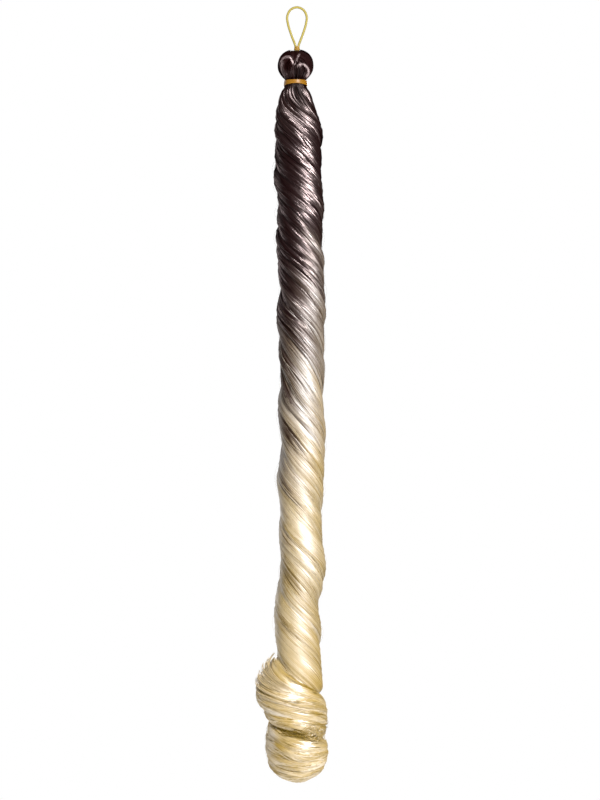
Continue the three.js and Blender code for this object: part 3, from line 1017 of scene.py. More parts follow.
@dataclass
class HangingLoop:
    """The elastic loop that the hair hangs from, with its knot.

    The knot's width and depth are given at its top, with what they grow by down to its bottom.
    """

    diameter: float = 1.9
    sides: int = 20
    steps_per_span: int = 22
    ply: int = 5
    ply_depth: float = 0.008
    ply_pitch: float = 16.0
    thread: float = 0.72
    thread_sides: int = 10
    knot_steps: int = 130
    knot_turns: float = 4.25
    knot_start: float = -30.0
    knot_top: float = 31.3
    knot_bottom: float = 34.2
    knot_wave: float = 0.12
    knot_wide: Span = (1.75, 0.5)
    knot_deep: Span = (1.1, 0.8)
    outline: Rows = (
        (0.0, -0.95), (5.3, 1.2), (8.0, 6.8), (7.3, 13.0), (4.5, 22.0),
        (1.2, 31.0), (1.0, 34.0), (2.4, 38.0), (1.9, 42.6), (0.0, 44.4),
    )
    last_row: int = 7
    finish: ElasticFinish = ElasticFinish(
        "yellow_gold_elastic", light=(146, 132, 50), dark=(124, 110, 36), grain=7000.0, roughness=(0.5, 0.62)
    )
    knot_finish: ElasticFinish = ElasticFinish(
        "warm_gold_elastic", light=(152, 118, 42), dark=(122, 90, 24), roughness=(0.5, 0.62)
    )

    def path(self) -> Array:
        """Follows the loop from inside the head up one leg, round the top and down the other leg.

        Returns:
            The points of the cord's middle line.
        """
        half = np.array(self.outline)
        right = np.stack((half[:, 0], np.zeros(len(half)), -half[:, 1]), axis=-1)
        left = right[1:-1][::-1] * np.array((-1.0, 1.0, 1.0))
        ring = np.concatenate((right, left))
        count = len(ring)
        legs = []
        for row in range(-self.last_row, self.last_row):
            before, start, end, after = (ring[(row + step) % count] for step in (-1, 0, 1, 2))
            sides = (start - before, end - start, after - end)
            gaps = [max(math.sqrt(np.linalg.norm(side)), 1e-4) for side in sides]
            leave = sides[0] / gaps[0] - (end - before) / (gaps[0] + gaps[1]) + sides[1] / gaps[1]
            arrive = sides[1] / gaps[1] - (after - start) / (gaps[1] + gaps[2]) + sides[2] / gaps[2]
            share = np.linspace(0.0, 1.0, self.steps_per_span, endpoint=False)[:, None]
            square, cube = share**2, share**3
            held = (2 * cube - 3 * square + 1) * start + (3 * square - 2 * cube) * end
            legs.append(held + ((cube - 2 * square + share) * leave + (cube - square) * arrive) * gaps[1])
        legs.append(ring[self.last_row][None])
        return np.concatenate(legs)

    def knot_path(self) -> Array:
        """Winds the knot's thread round both legs, down to the crown.

        Returns:
            The points of the thread's middle line.
        """
        share = np.linspace(0.0, 1.0, self.knot_steps)
        turn = np.radians(self.knot_start + 360.0 * self.knot_turns * share)
        drop = self.knot_top + (self.knot_bottom - self.knot_top) * share + self.knot_wave * np.sin(turn)
        wide = self.knot_wide[0] + self.knot_wide[1] * share
        deep = self.knot_deep[0] + self.knot_deep[1] * share
        return np.stack((wide * np.sin(turn), -deep * np.cos(turn), -drop), axis=-1)

    def build(self) -> None:
        material = self.finish.make()
        path = self.path()
        length = lengths(path)
        turn = np.linspace(0.0, 2.0 * np.pi, self.sides, endpoint=False)
        twist = self.ply * turn[None, :] - 2.0 * np.pi * length[:, None] / self.ply_pitch
        radius = self.diameter / 2.0 * (1.0 + self.ply_depth * np.cos(twist))
        cord = tube_shape(path, radius, self.sides).piece("elastic_loop", material, Slot.LOOP, Node.LOOP)
        wound = self.knot_path()
        winding = tube_shape(wound, np.full(len(wound), self.thread / 2.0), self.thread_sides)
        knot = winding.piece("loop_knot", self.knot_finish.make(), Slot.LOOP, Node.LOOP)


@dataclass
class TieBand:
    """The flat elastic that is wound twice round the neck of the head."""

    inner_radius: float = 8.6
    thickness: float = 0.9
    width: float = 2.8
    bevel: float = 0.35
    upper_drop: float = 60.7
    lower_drop: float = 62.7
    tilt: float = 10.0
    centre_x: float = -1.1
    segments: int = 144
    ribs: int = 5
    rib_depth: float = 0.04
    sag_size: Span = (0.01, 0.03)
    sag_beats: tuple[int, ...] = (2, 3, 5)
    sag_lift: float = 0.6
    thread_step: float = 12.0
    seeds: tuple[int, int] = (11, 12)
    finish: ElasticFinish = ElasticFinish(
        "amber_gold_elastic",
        light=(142, 99, 24),
        dark=(106, 70, 8),
        threads_per_mm=1.6,
        roughness=(0.28, 0.38),
    )

    def section(self) -> Array:
        """Draws the wrap's section: a flat ribbed band with rounded edges.

        Returns:
            Points of (outward, upward), counterclockwise.
        """
        half = self.width / 2.0
        upward = np.linspace(-half + self.bevel, half - self.bevel, 4 * self.ribs + 1)
        ripple = self.rib_depth * np.cos(np.linspace(0.0, 2.0 * np.pi * self.ribs, len(upward)))
        face = np.stack((self.thickness - self.rib_depth + ripple, upward), axis=-1)
        lip = np.radians(np.linspace(0.0, 90.0, 4))[1:]
        outer = self.thickness - self.bevel * (1 - np.cos(lip))
        top = np.stack((outer, half - self.bevel * (1 - np.sin(lip))), axis=-1)
        back = np.array(((0.0, half - self.bevel), (0.0, -half + self.bevel)))
        low = top[::-1] * np.array((1.0, -1.0))
        return np.concatenate((face, top, back, low))

    def wrap(self, drop: float, tilt: float, seed: int) -> Shape:
        """Builds one wrap.

        Args:
            drop: How far down its middle lies.
            tilt: Degrees that its back hangs lower than its front.
            seed: Starts its small unevenness.

        Returns:
            The wrap's shape.
        """
        chance = np.random.default_rng(seed)
        turn = circle(self.segments)
        section = self.section()
        sag = sum(
            chance.uniform(*self.sag_size) * np.sin(np.radians(turn * beat + chance.uniform(0, 360)))
            for beat in self.sag_beats
        )
        stretch = 1.0 / math.cos(math.radians(tilt))
        reach = self.inner_radius * stretch + section[None, :, 0] + np.abs(sag)[:, None] * self.sag_lift
        points = around(turn[:, None], reach, -(section[None, :, 1] + sag[:, None]))
        lean = math.radians(tilt)
        y, z = points[..., 1].copy(), points[..., 2].copy()
        points[..., 1] = y * math.cos(lean) + z * math.sin(lean)
        points[..., 2] = z * math.cos(lean) - y * math.sin(lean) - drop
        points[..., 0] += self.centre_x
        along = np.radians(turn)[:, None] * self.inner_radius
        across = np.cumsum(np.ones(len(section)))[None, :] * self.thread_step
        return grid_shape(points, {Trait.ALONG: along, Trait.ACROSS: across}, closed_rows=True)

    def build(self) -> None:
        """Builds both wraps as one piece."""
        upper = self.wrap(self.upper_drop, 0.0, self.seeds[0])
        wraps = [upper, self.wrap(self.lower_drop, self.tilt, self.seeds[1])]
        Shape.joined(wraps).piece("elastic_tie", self.finish.make(), Slot.TIE, Node.TIE)


@dataclass(frozen=True)
class GlintFold:
    """A ridge where a lock of the head folds over and catches the light, as a painted highlight: its fibres
    are turned to the light and painted lighter and glossier there.

    Its line runs through points of (x, drop) as seen from the front.
    """

    width: float
    # The painted highlight's tone on the ridge.
    tone: float
    line: Rows

    def near(self, points: Array) -> Array:
        """Gives how close points of the head's front lie to the ridge.

        Args:
            points: The points, with x, y and z last.

        Returns:
            A share from 0, far away, to 1, on the ridge.
        """
        seen = np.stack((points[..., 0], -points[..., 2]), axis=-1)
        gap = np.full(seen.shape[:-1], np.inf)
        for start, end in zip(np.array(self.line[:-1]), np.array(self.line[1:])):
            span = end - start
            share = np.clip(((seen - start) @ span) / (span @ span), 0.0, 1.0)
            gap = np.minimum(gap, np.linalg.norm(seen - start - share[..., None] * span, axis=-1))
        return np.exp(-((gap / self.width) ** 2)) * (points[..., 1] < 0.0)


@dataclass
class FoldedHead:
    """The ball of hair that is folded over the loop, parted at its front.

    The back's angles are a first one, from the parting, and the degrees that they spread over.
    """

    form: HeadForm = field(default_factory=HeadForm)
    tuck_drop: float = 61.0
    crown_drop: float = 34.1
    steps: int = 34
    front_fibres: int = 150
    back_fibres: int = 150
    fibre_width: float = 0.42
    fold_depth: float = 1.7
    core_inset: float = 0.75
    core_size: tuple[int, int] = (60, 96)
    core_start: float = 0.7
    core_tuck: float = 0.4
    # Painted shade: the core under the fibres is painted dark, for the shade in the gaps between them.
    core_shade_tone: float = -0.8
    core_streak: float = 0.25
    surface: float = 0.12
    front_wisps: int = 13
    back_wisps: int = 14
    first_back_wisp: int = 40
    most_wisps: int = 100
    front_lean: float = 14.0
    back_start: Span = (40.0, 280.0)
    back_end: Span = (92.0, 176.0)
    back_tone: float = -0.35
    turn_away: float = 34.0
    # Painted shade: away from the glints, the front's fibres are painted darker and less glossy.
    off_glint_shade_tone: float = -0.75
    # Painted highlights: ridges where the fibres are turned to the key light and painted lighter.
    folds: tuple[GlintFold, ...] = (
        GlintFold(1.1, -0.15, ((-5.3, 42.0), (-4.1, 44.7), (-2.6, 48.0))),
        GlintFold(0.65, -0.6, ((2.3, 38.4), (0.7, 42.4), (-0.9, 46.4), (-2.2, 48.4))),
        GlintFold(1.3, -0.55, ((0.6, 49.4), (2.2, 48.2), (3.9, 47.8), (6.0, 48.2), (7.7, 49.3))),
        GlintFold(1.5, -0.5, ((7.7, 49.3), (9.3, 51.2), (9.7, 53.4), (9.0, 55.2), (7.9, 56.4))),
        GlintFold(3.4, -0.9, ((-13.4, 45.0), (-13.2, 50.2), (-11.6, 53.5), (-9.6, 56.0))),
        GlintFold(1.7, -0.95, ((-11.8, 42.6), (-9.0, 41.5), (-6.4, 41.3))),
        GlintFold(1.2, -0.7, ((9.9, 54.6), (8.4, 57.0))),
    )
    glint_slip: float = 0.55
    seed: int = 21

    def __post_init__(self) -> None:
        """Starts the head's own unevenness."""
        self.chance = np.random.default_rng(self.seed)

    def front(self, side: int) -> Fibres:
        """Combs one side of the front from the parting outward and down into the tie.

        Args:
            side: -1 for the left side and 1 for the right side.

        Returns:
            The fibres.
        """
        chance, count = self.chance, self.front_fibres
        share = np.sort(chance.uniform(0.0, 1.0, count)) ** 0.9
        form = self.form
        start_drop = form.top + form.parting_length - share * (form.parting_length - 1.0)
        start_drop = np.clip(start_drop + chance.normal(0, 0.15, count), form.top + 0.35, None)
        half = 0.15 + share * form.parting_width / 2.0 * 0.9
        start = np.degrees(np.arcsin(np.clip(half / np.maximum(form.radius(start_drop), 3.2), 0.0, 0.95)))
        end = 4.0 + 100.0 * share**0.85 + chance.normal(0, 2.5, count)
        t = shares(self.steps)
        sweep = 1.0 - (1.0 - t) ** 2.4
        angle = form.parting_angle + side * (start[:, None] + (end - start)[:, None] * sweep)
        drop = start_drop[:, None] + (self.tuck_drop - start_drop)[:, None] * t**1.45
        wisp = (share * self.front_wisps).astype(int)
        depth = self.depths(wisp)
        lift = self.surface - depth[:, None] - self.fold_depth * (1.0 - smoothstep(t, 0.0, 0.07))
        points, outward = form.place(angle, drop, lift)
        along = unit(np.gradient(points, axis=1))
        slip = along * chance.normal(0, self.glint_slip, (count, 1, 1))
        outward, near, glint_tone = self.folded(points + slip, outward)
        # Painted highlight on the glint ridges, and painted shade between them.
        between = self.tones(wisp)[:, None] + self.off_glint_shade_tone
        tone = between * (1.0 - near) + glint_tone * near
        tilt = 0.1 * chance.normal(0, 1, (self.most_wisps, 1))[wisp] + 0.07 * chance.normal(0, 1, (count, 1))
        lengthwise = np.clip(np.sum(outward * along, axis=-1), -0.9, 0.9)
        tilt = tilt * (1.0 - 0.4 * near) + lengthwise / np.sqrt(1.0 - lengthwise**2)
        width = self.widths(count)
        return Fibres(points, outward, width, DARK, tone, tilt, edge_lean=self.front_lean)

    def folded(self, points: Array, outward: Array) -> tuple[Array, Array, Array]:
        """Turns the fibres' faces to the light on the folds, and away from it between them.

        Args:
            points: The fibres' points.
            outward: The directions that point outward on the ball.

        Returns:
            The turned directions, how close each point lies to a fold, from 0 to 1, and that fold's painted
            highlight tone.
        """
        bulge = unit(np.array(LIGHT_FACING))
        close = np.array([fold.near(points) for fold in self.folds])
        near = close.max(axis=0)
        tones = np.array([fold.tone for fold in self.folds])[close.argmax(axis=0)]
        facing = np.clip(outward @ bulge, -1.0, 1.0)[..., None]
        sideways = unit(outward - bulge * facing)
        apart = np.arccos(facing)
        apart = np.maximum(apart, np.radians(self.turn_away) + apart * (1.0 - self.turn_away / 90.0))
        away = bulge * np.cos(apart) + sideways * np.sin(apart)
        return unit(away * (1.0 - near[..., None]) + bulge * near[..., None]), near, tones

    def back(self) -> Fibres:
        """Combs the rest of the head from the crown down into the tie.

        Returns:
            The fibres.
        """
        chance, count = self.chance, self.back_fibres
        share = np.sort(chance.uniform(0.0, 1.0, count))
        form = self.form
        end = form.parting_angle + self.back_end[0] + share * self.back_end[1]
        start = form.parting_angle + self.back_start[0] + share * self.back_start[1]
        t = shares(self.steps)
        angle = start[:, None] + (end - start)[:, None] * smoothstep(t, 0.0, 0.8)
        crown = self.crown_drop + chance.uniform(0.0, 0.5, count)
        drop = crown[:, None] + (self.tuck_drop - crown)[:, None] * t**1.7
        wisp = (share * self.back_wisps).astype(int) + self.first_back_wisp
        lift = self.surface - self.depths(wisp)[:, None]
        points, outward = form.place(angle, drop, lift)
        tone = self.tones(wisp)[:, None] + self.back_tone
        return Fibres(points, outward, self.widths(count), DARK, tone)

    def depths(self, wisp: Array) -> Array:
        """Gives how far each fibre lies under the surface, wisp by wisp."""
        chance = self.chance
        return 0.35 * chance.random(self.most_wisps)[wisp] + 0.3 * chance.random(len(wisp)) ** 2

    def tones(self, wisp: Array) -> Array:
        """Gives how light each fibre is, wisp by wisp."""
        chance = self.chance
        return 0.55 * chance.normal(0, 1, self.most_wisps)[wisp] + 0.4 * chance.normal(0, 1, len(wisp))

    def widths(self, count: int) -> Array:
        """Gives each fibre's width along its length, narrow at its two ends."""
        ends = tapered(shares(self.steps), 0.25, 0.06)
        return self.fibre_width * self.chance.uniform(0.7, 1.15, count)[:, None] * ends

    def core(self) -> Shape:
        """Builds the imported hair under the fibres.

        Returns:
            The closed shape.
        """
        form = self.form
        rows, columns = self.core_size
        start = form.top + self.core_start
        drop = start + (self.tuck_drop + self.core_tuck - start) * shares(rows).T ** 1.6
        angle = np.broadcast_to(circle(columns)[None, :], self.core_size)
        drops = np.broadcast_to(drop, self.core_size)
        points, _ = form.place(angle, drops, np.full(self.core_size, -self.core_inset))
        traits = {
            Trait.OMBRE: DARK,
            # Painted shade in the gaps between the fibres.
            Trait.TONE: np.full((1, 1), self.core_shade_tone),
            Trait.ACROSS: angle * self.core_streak,
            Trait.ALONG: drops,
        }
        return grid_shape(points, traits)

    def build(self, hair: Material) -> None:
        """Builds the head.

        Args:
            hair: The hair's material.
        """
        self.core().piece("head_core", hair, Slot.HEAD, Node.HEAD)
        combed = FibreMesh([self.front(-1), self.front(1), self.back()])
        combed.shape().piece("head_fibres", hair, Slot.HEAD, Node.HEAD)


@dataclass(frozen=True)
class Layer:
    """One layer of fibres: how many lie round the hank, how deep, how wide and how light they are."""

    fibres: int
    depth: float
    jitter: float
    width: float
    tone: float


@dataclass(frozen=True)
class Stray:
    """Single fibres that leave their lock for a while.

    Their length is the drop that they run over, their rise how far they stand over the locks in their middle,
    each from least to most, and their drift the degrees that they cross the locks by.
    """

    fibres: int
    length: Span
    rise: Span
    drift: float
    width: float


@dataclass(frozen=True)
class Wisps:
    """The wisps of one lock, with what the fibres of each wisp have in common."""

    start: float
    degrees: float
    count: int
    sway: Array
    swell: Array
    wave: Array
    shift: Array
    tone: Array
    low: Array
    shade: Array


@dataclass
class TwistedHank:
    """The six twisted locks between the tie and the curl."""

    form: HankForm = field(default_factory=HankForm)
    start_drop: float = 61.9
    flare_drop: float = 84.0
    close_drop: float = 552.0
    end_drop: float = 564.0
    flare_steps: int = 12
    middle_steps: int = 87
    close_steps: int = 7
    # Painted shade: the deeper layers are painted darker.
    layers: tuple[Layer, ...] = (
        Layer(fibres=270, depth=0.0, jitter=0.14, width=0.58, tone=0.1),
        Layer(fibres=320, depth=0.28, jitter=0.16, width=0.66, tone=-0.08),
        Layer(fibres=130, depth=0.6, jitter=0.2, width=1.0, tone=-0.35),
    )
    wisp_degrees: float = 5.2
    wisp_round: float = 0.22
    lock_shifts: Row = (2.0, -4.0, 40.0, 24.0, -18.0, 34.0)
    sheen_size: float = 0.062
    sheen_waves: Rows = (
        (2, 150.0, 40.0), (-3, 95.0, 200.0), (5, 120.0, 310.0), (-7, 210.0, 80.0),
        (9, 160.0, 150.0), (4, 70.0, 260.0), (-11, 130.0, 20.0), (6, 260.0, 190.0),
    )
    gloss_lean: SmoothTable = SmoothTable(
        names=("drop", "lean"),
        rows=(
            (60.0, 0.6), (68.0, 0.4), (76.0, 0.2), (92.0, 0.06), (106.0, -0.1), (118.0, -0.17),
            (145.0, -0.2), (171.0, -0.12), (205.0, -0.16), (258.0, -0.17), (290.0, -0.07),
            (350.0, -0.06), (408.0, 0.01), (437.0, -0.03), (496.0, 0.03), (525.0, 0.04), (566.0, 0.02),
        ),
    )
    wisp_sway: Unevenness = Unevenness((2.6, 2.0), (40.0, 110.0))
    wisp_swell: Unevenness = Unevenness((0.13, 0.1), (28.0, 80.0))
    wisp_wave: Unevenness = Unevenness((0.08, 0.065), (50.0, 140.0))
    fibre_sway: Unevenness = Unevenness((0.9, 0.5), (28.0, 90.0))
    fibre_wave: Unevenness = Unevenness((0.15, 0.11), (40.0, 120.0))
    shift_spread: float = 9.0
    shade_reach: Span = (0.05, 0.85)
    surface: float = 0.12
    steady_span: Span = (240.0, 400.0)
    calm_ombres: Span = (0.09, 0.58)
    ruffle_span: Span = (78.0, 108.0)
    # Painted shadow: the hair just below the tie is painted darker.
    tie_shadow_span: Span = (65.0, 71.0)
    warm_span: Span = (400.0, 480.0)
    # Painted shade: the hank's end, where it tucks into the curl, is painted darker.
    end_shade_span: Span = (538.0, 560.0)
    ruffled_left: Span = (95.0, 125.0)
    left_sweep: Window = Window((-80.0, -48.0), (-14.0, 6.0))
    right_sweep: Window = Window((20.0, 36.0), (55.0, 80.0))
    left_fall: Span = (84.0, 104.0)
    right_fall: Span = (74.0, 90.0)
    sweep_rise: Span = (64.5, 69.0)
    # Painted shade at the front below the tie fades out over this drop.
    hollow_shade_span: Span = (78.0, 98.0)
    # Painted shadow at the left where the fade begins.
    left_shadow_drops: Window = Window((262.0, 285.0), (310.0, 332.0))
    shade_end: Span = (520.0, 545.0)
    lowlight_share: float = 0.075
    late_angles: Row = (232.0, 140.0, 358.0)
    late_width: float = 25.0
    right_share: Span = (-0.1, 0.8)
    # Painted shade: the shaded left side is painted to fade later.
    shaded_left_delay: float = 33.0
    stray_steps: int = 40
    stray_drops: Span = (70.0, 545.0)
    crossing: Stray = Stray(fibres=110, length=(60.0, 150.0), rise=(0.15, 0.45), drift=34.0, width=0.34)
    loose: Stray = Stray(fibres=70, length=(22.0, 60.0), rise=(0.7, 2.6), drift=16.0, width=0.16)
    core_inset: float = 0.9
    core_size: tuple[int, int] = (190, 108)
    core_shift: float = 20.0
    core_streak: float = 0.33
    seed: int = 31

    def __post_init__(self) -> None:
        """Starts the hank's own unevenness."""
        self.chance = np.random.default_rng(self.seed)

    def drops(self) -> Array:
        """Spaces a fibre's points, closer together near the tie and the end.

        Returns:
            The drops of the points, as one row.
        """
        flare = np.linspace(self.start_drop, self.flare_drop, self.flare_steps)
        middle = np.linspace(self.flare_drop, self.close_drop, self.middle_steps)[1:-1]
        close = np.linspace(self.close_drop, self.end_drop, self.close_steps)
        return np.concatenate((flare, middle, close))[None, :]

    def wisps(self, lock: int) -> Wisps:
        """Parts one lock into wisps.

        Args:
            lock: Which lock.

        Returns:
            The wisps.
        """
        chance = self.chance
        start, end = self.form.lock_span(lock)
        drop = self.drops()
        count = max(3, round((end - start) / self.wisp_degrees))
        steady = 1.0 - 0.45 * smoothstep(drop, *self.steady_span)
        return Wisps(
            start=start,
            degrees=end - start,
            count=count,
            sway=self.wisp_sway.lines(chance, count, drop) * steady,
            swell=self.wisp_swell.lines(chance, count, drop),
            wave=self.wisp_wave.lines(chance, count, drop),
            shift=self.lock_shifts[lock] + chance.normal(0, self.shift_spread, count),
            tone=chance.normal(0, 1, count),
            low=1.0 * (chance.random(count) < self.lowlight_share * 2.0),
            shade=chance.uniform(*self.shade_reach, count),
        )

    def lay(self, wisps: Wisps, layer: Layer) -> Fibres:
        """Lays one layer of a lock's fibres.

        Args:
            wisps: The lock's wisps.
            layer: The layer.

        Returns:
            The fibres.
        """
        chance, drop = self.chance, self.drops()
        count = round(layer.fibres * wisps.degrees / 360.0)
        share, wisp, in_wisp = parted(chance, count, wisps.count)
        own = self.fibre_sway.lines(chance, count, drop)
        fine = self.fibre_wave.lines(chance, count, drop)
        angle = wisps.start + wisps.degrees * share[:, None] + wisps.sway[wisp] + own
        shift = (wisps.shift[wisp] + chance.normal(0, self.shift_spread, count))[:, None]
        turned = angle + self.form.twist(drop)
        right = self.right(turned)
        # Painted light and shade: the fade is painted earlier on the lit right side, later on the shaded
        # left.
        ombre = ombre_at(drop, shift * (1.0 - 0.25 * right) + self.lit_side_shift(turned), right)
        calm = smoothstep(ombre, *self.calm_ombres)
        ruffle = 1.0 + 0.2 * (1.0 - smoothstep(drop, *self.ruffle_span))
        tilt = self.gloss_lean.read("lean", drop) + self.sheen(angle, drop) * (1.0 - 0.4 * calm)
        tilt = tilt + ruffle * (wisps.wave[wisp] * (1.0 - 0.65 * calm) + fine * (1.0 - 0.6 * calm))
        tilt = tilt + self.left_sheen(turned, drop)
        uneven = (layer.jitter * chance.random(count) + 0.22 * in_wisp**2)[:, None] - wisps.swell[wisp]
        depth = layer.depth + uneven * (1.0 - 0.75 * calm)
        points, outward = self.form.place(angle, drop, self.surface - depth)
        tangent = np.cross(np.array((0.0, 0.0, 1.0)), outward)
        bulge = in_wisp[:, None] * self.wisp_round * (1.0 - 0.8 * calm)
        outward = unit(outward + tangent * bulge[..., None] + 0.9 * calm[..., None] * outward_at(turned))
        swept = (self.swept(turned, drop) * (0.3 + 0.75 * wisps.shade[wisp])[:, None])[..., None]
        outward = unit(outward * (1.0 - swept) + np.array(LIGHT_FACING) * swept)
        tone = (layer.tone + 0.36 * wisps.tone[wisp])[:, None] * (1.0 - 0.6 * calm)
        tone = tone + 0.42 * chance.normal(0, 1, (count, 1)) * (1.0 - 0.45 * calm)
        # Painted shadow just below the tie, and painted shade at the front below it.
        tone = tone - 0.9 * (1.0 - smoothstep(drop, *self.tie_shadow_span)) - self.hollow_shade(turned, drop)
        # Painted sheen: the ruffled hair at the left below the tie is painted lighter.
        tone = tone + self.left_sheen(turned, drop)
        single = chance.random((count, 1)) < self.lowlight_share
        lowlight = 0.95 * single + 0.6 * wisps.low[wisp][:, None]
        # Painted shade at the left: wisps there are painted darker and more brown, most on the locks that
        # fade last, which is real colour, but only at the left, which is painted shade.
        late = self.late_lock(angle)
        reach = 0.25 + 1.2 * wisps.shade[wisp][:, None] - 0.6 * late
        shade_and_brown = self.shade(turned, drop, reach) * calm * (0.5 + 0.8 * late)
        # Painted rim light: the faded hair at the left edge is painted lighter.
        tone = tone - 0.8 * lowlight * calm - 0.6 * shade_and_brown + self.edge_light(turned) * calm
        cooler = 0.25 * (1.0 - 0.5 * smoothstep(drop, *self.warm_span))
        faded = np.clip(ombre - cooler * shade_and_brown - 0.1 * lowlight * calm, 0.0, 1.0)
        # Painted shade at the hank's end, where it tucks into the curl, and a painted shadow at the left
        # where the fade begins.
        tone = tone - 0.4 * smoothstep(drop, *self.end_shade_span) - self.left_shadow(turned, drop)
        width = layer.width * chance.uniform(0.7, 1.25, count)[:, None]
        return Fibres(points, outward, width, faded, tone, tilt)

    def sheen(self, angle: Array, drop: Array) -> Array:
        """Gives how far the hair's gloss leans along the strands, in broad uneven patches.

        Args:
            angle: Degrees with the twist taken out.
            drop: Distance below the loop's inside top.

        Returns:
            The lean, as a slope.
        """
        total = np.zeros(np.broadcast(angle, drop).shape)
        for beats, wave, phase in self.sheen_waves:
            total += self.sheen_size * np.sin(np.radians(beats * angle + 360.0 * drop / wave + phase))
        return total

    def left(self, turned: Array) -> Array:
        """Gives how far round to the left the hair lies, from -1 to 1."""
        return -np.sin(np.radians(turned + 6.0))

    def right(self, turned: Array) -> Array:
        """Gives how far round to the right the hair lies, from 0 to 1."""
        return smoothstep(np.sin(np.radians(turned)), *self.right_share)

    def lit_side_shift(self, turned: Array) -> Array:
        """Gives how much lower the shaded left side is painted to fade than the lit right side, in
        millimetres.
        """
        return -self.shaded_left_delay * np.sin(np.radians(turned))

    def left_sheen(self, turned: Array, drop: Array) -> Array:
        """Gives how far the gloss of the ruffled hair at the left below the tie leans along the strands, and
        how much lighter that hair is painted, a painted sheen.
        """
        left = 0.42 * np.clip(-np.sin(np.radians(turned + 8.0)), 0.0, 1.0)
        return left * (1.0 - smoothstep(drop, *self.ruffled_left)) * (1.0 - 0.6 * self.swept(turned, drop))

    def swept(self, turned: Array, drop: Array) -> Array:
        """Finds the locks that are swept to both sides below the tie.

        Args:
            turned: Degrees from the front towards +X.
            drop: Distance below the loop's inside top.

        Returns:
            How far the hair there turns to the light, from 0 to 1.
        """
        side = np.mod(turned + 180.0, 360.0) - 180.0
        left = self.left_sweep.share(side) * (1.0 - smoothstep(drop, *self.left_fall))
        right = self.right_sweep.share(side) * (1.0 - smoothstep(drop, *self.right_fall))
        return (left + right) * smoothstep(drop, *self.sweep_rise)

    def hollow_shade(self, turned: Array, drop: Array) -> Array:
        """Gives how much darker the hair is painted at the front just below the tie, a painted shade where it
        lies deeper.
        """
        front = np.clip(np.cos(np.radians(turned - 6.0)), 0.0, 1.0) ** 9
        return 1.7 * front * (1.0 - smoothstep(drop, *self.hollow_shade_span))

    def shade(self, turned: Array, drop: Array, reach: Array) -> Array:
        """Paints shade on the wisps at the left, darker and more brown, each from a reach of its own.

        Args:
            turned: Degrees from the front towards +X.
            drop: Distance below the loop's inside top.
            reach: How far round to the left each wisp starts to be painted darker and more brown.

        Returns:
            How much darker and more brown the hair is painted, from 0 to 1.
        """
        left = self.left(turned)
        size = 1.0 - 0.85 * smoothstep(left, 0.6, 0.95)
        return size * smoothstep(left - reach, -0.15, 0.2) * (1.0 - 0.4 * smoothstep(drop, *self.shade_end))

    def late_lock(self, angle: Array) -> Array:
        """Gives how close the hair lies to one of the locks that fade last, from 0 to 1."""
        apart = np.mod(angle[..., None] - np.array(self.late_angles) + 180.0, 360.0) - 180.0
        return np.exp(-((apart / self.late_width) ** 2)).max(axis=-1)

    def left_shadow(self, turned: Array, drop: Array) -> Array:
        """Paints a shadow on the hair at the left where the fade begins.

        Args:
            turned: Degrees from the front towards +X.
            drop: Distance below the loop's inside top.

        Returns:
            How much darker the hair is painted.
        """
        left = self.left(turned)
        span = 0.6 * self.left_shadow_drops.share(drop)
        return span * smoothstep(left, 0.0, 0.4) * (1.0 - 0.5 * smoothstep(left, 0.75, 0.95))

    def edge_light(self, turned: Array) -> Array:
        """Gives how much lighter the faded hair is painted at the left edge, a painted rim light."""
        return 0.55 * smoothstep(self.left(turned), 0.55, 0.95)

    def strays(self, stray: Stray) -> Fibres:
        """Lays single fibres that leave their lock for a while.

        Args:
            stray: What they are like.

        Returns:
            The fibres.
        """
        chance, count = self.chance, stray.fibres
        t = shares(self.stray_steps)
        span = chance.uniform(*stray.length, count)
        top = chance.uniform(self.stray_drops[0], self.stray_drops[1] - span)
        drop = top[:, None] + span[:, None] * t
        start = chance.uniform(0.0, 360.0, (count, 1))
        angle = start + stray.drift * chance.normal(0, 1, (count, 1)) * (t - 0.5)
        lift = -0.5 + (0.5 + chance.uniform(*stray.rise, (count, 1))) * np.sin(np.pi * t) ** 0.7
        points, outward = self.form.place(angle, drop, lift)
        ombre = ombre_at(drop, chance.normal(0, 12, (count, 1)))
        tone = chance.normal(0.25, 0.5, (count, 1))
        tilt = chance.normal(0, 0.2, (count, 1))
        return Fibres(points, outward, stray.width * tapered(t, 0.3, 0.08), ombre, tone, tilt)

    def core(self) -> Shape:
        """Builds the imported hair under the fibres.

        Returns:
            The closed shape.
        """
        rows, columns = self.core_size
        drop = np.broadcast_to(np.linspace(self.start_drop, self.end_drop, rows)[:, None], self.core_size)
        angle = np.broadcast_to(circle(columns)[None, :], self.core_size)
        points, _ = self.form.place(angle, drop, np.full(self.core_size, -self.core_inset))
        turned = angle + self.form.twist(drop)
        traits = {
            # Painted shade: the core under the fibres is painted darker, and its fade painted earlier on the
            # lit right side.
            Trait.OMBRE: ombre_at(drop, self.core_shift + self.lit_side_shift(turned), self.right(turned)),
            Trait.TONE: -0.8 + 0.6 * ombre_at(drop, 0.0),
            Trait.ACROSS: angle * self.core_streak,
            Trait.ALONG: drop,
        }
        return grid_shape(points, traits)

    def build(self, hair: Material) -> None:
        """Builds the hank lock by lock.

        Args:
            hair: The hair's material.
        """
        self.core().piece("hank_core", hair, Slot.HANK, Node.HANK)
        for lock in range(len(self.form.locks)):
            wisps = self.wisps(lock)
            laid = FibreMesh([self.lay(wisps, layer) for layer in self.layers])
            laid.shape().piece(f"hank_lock_{lock + 1}", hair, Slot.HANK, Node.HANK)
        loose = FibreMesh([self.strays(stray) for stray in (self.crossing, self.loose)])
        loose.shape().piece("hank_loose_fibres", hair, Slot.HANK, Node.HANK)


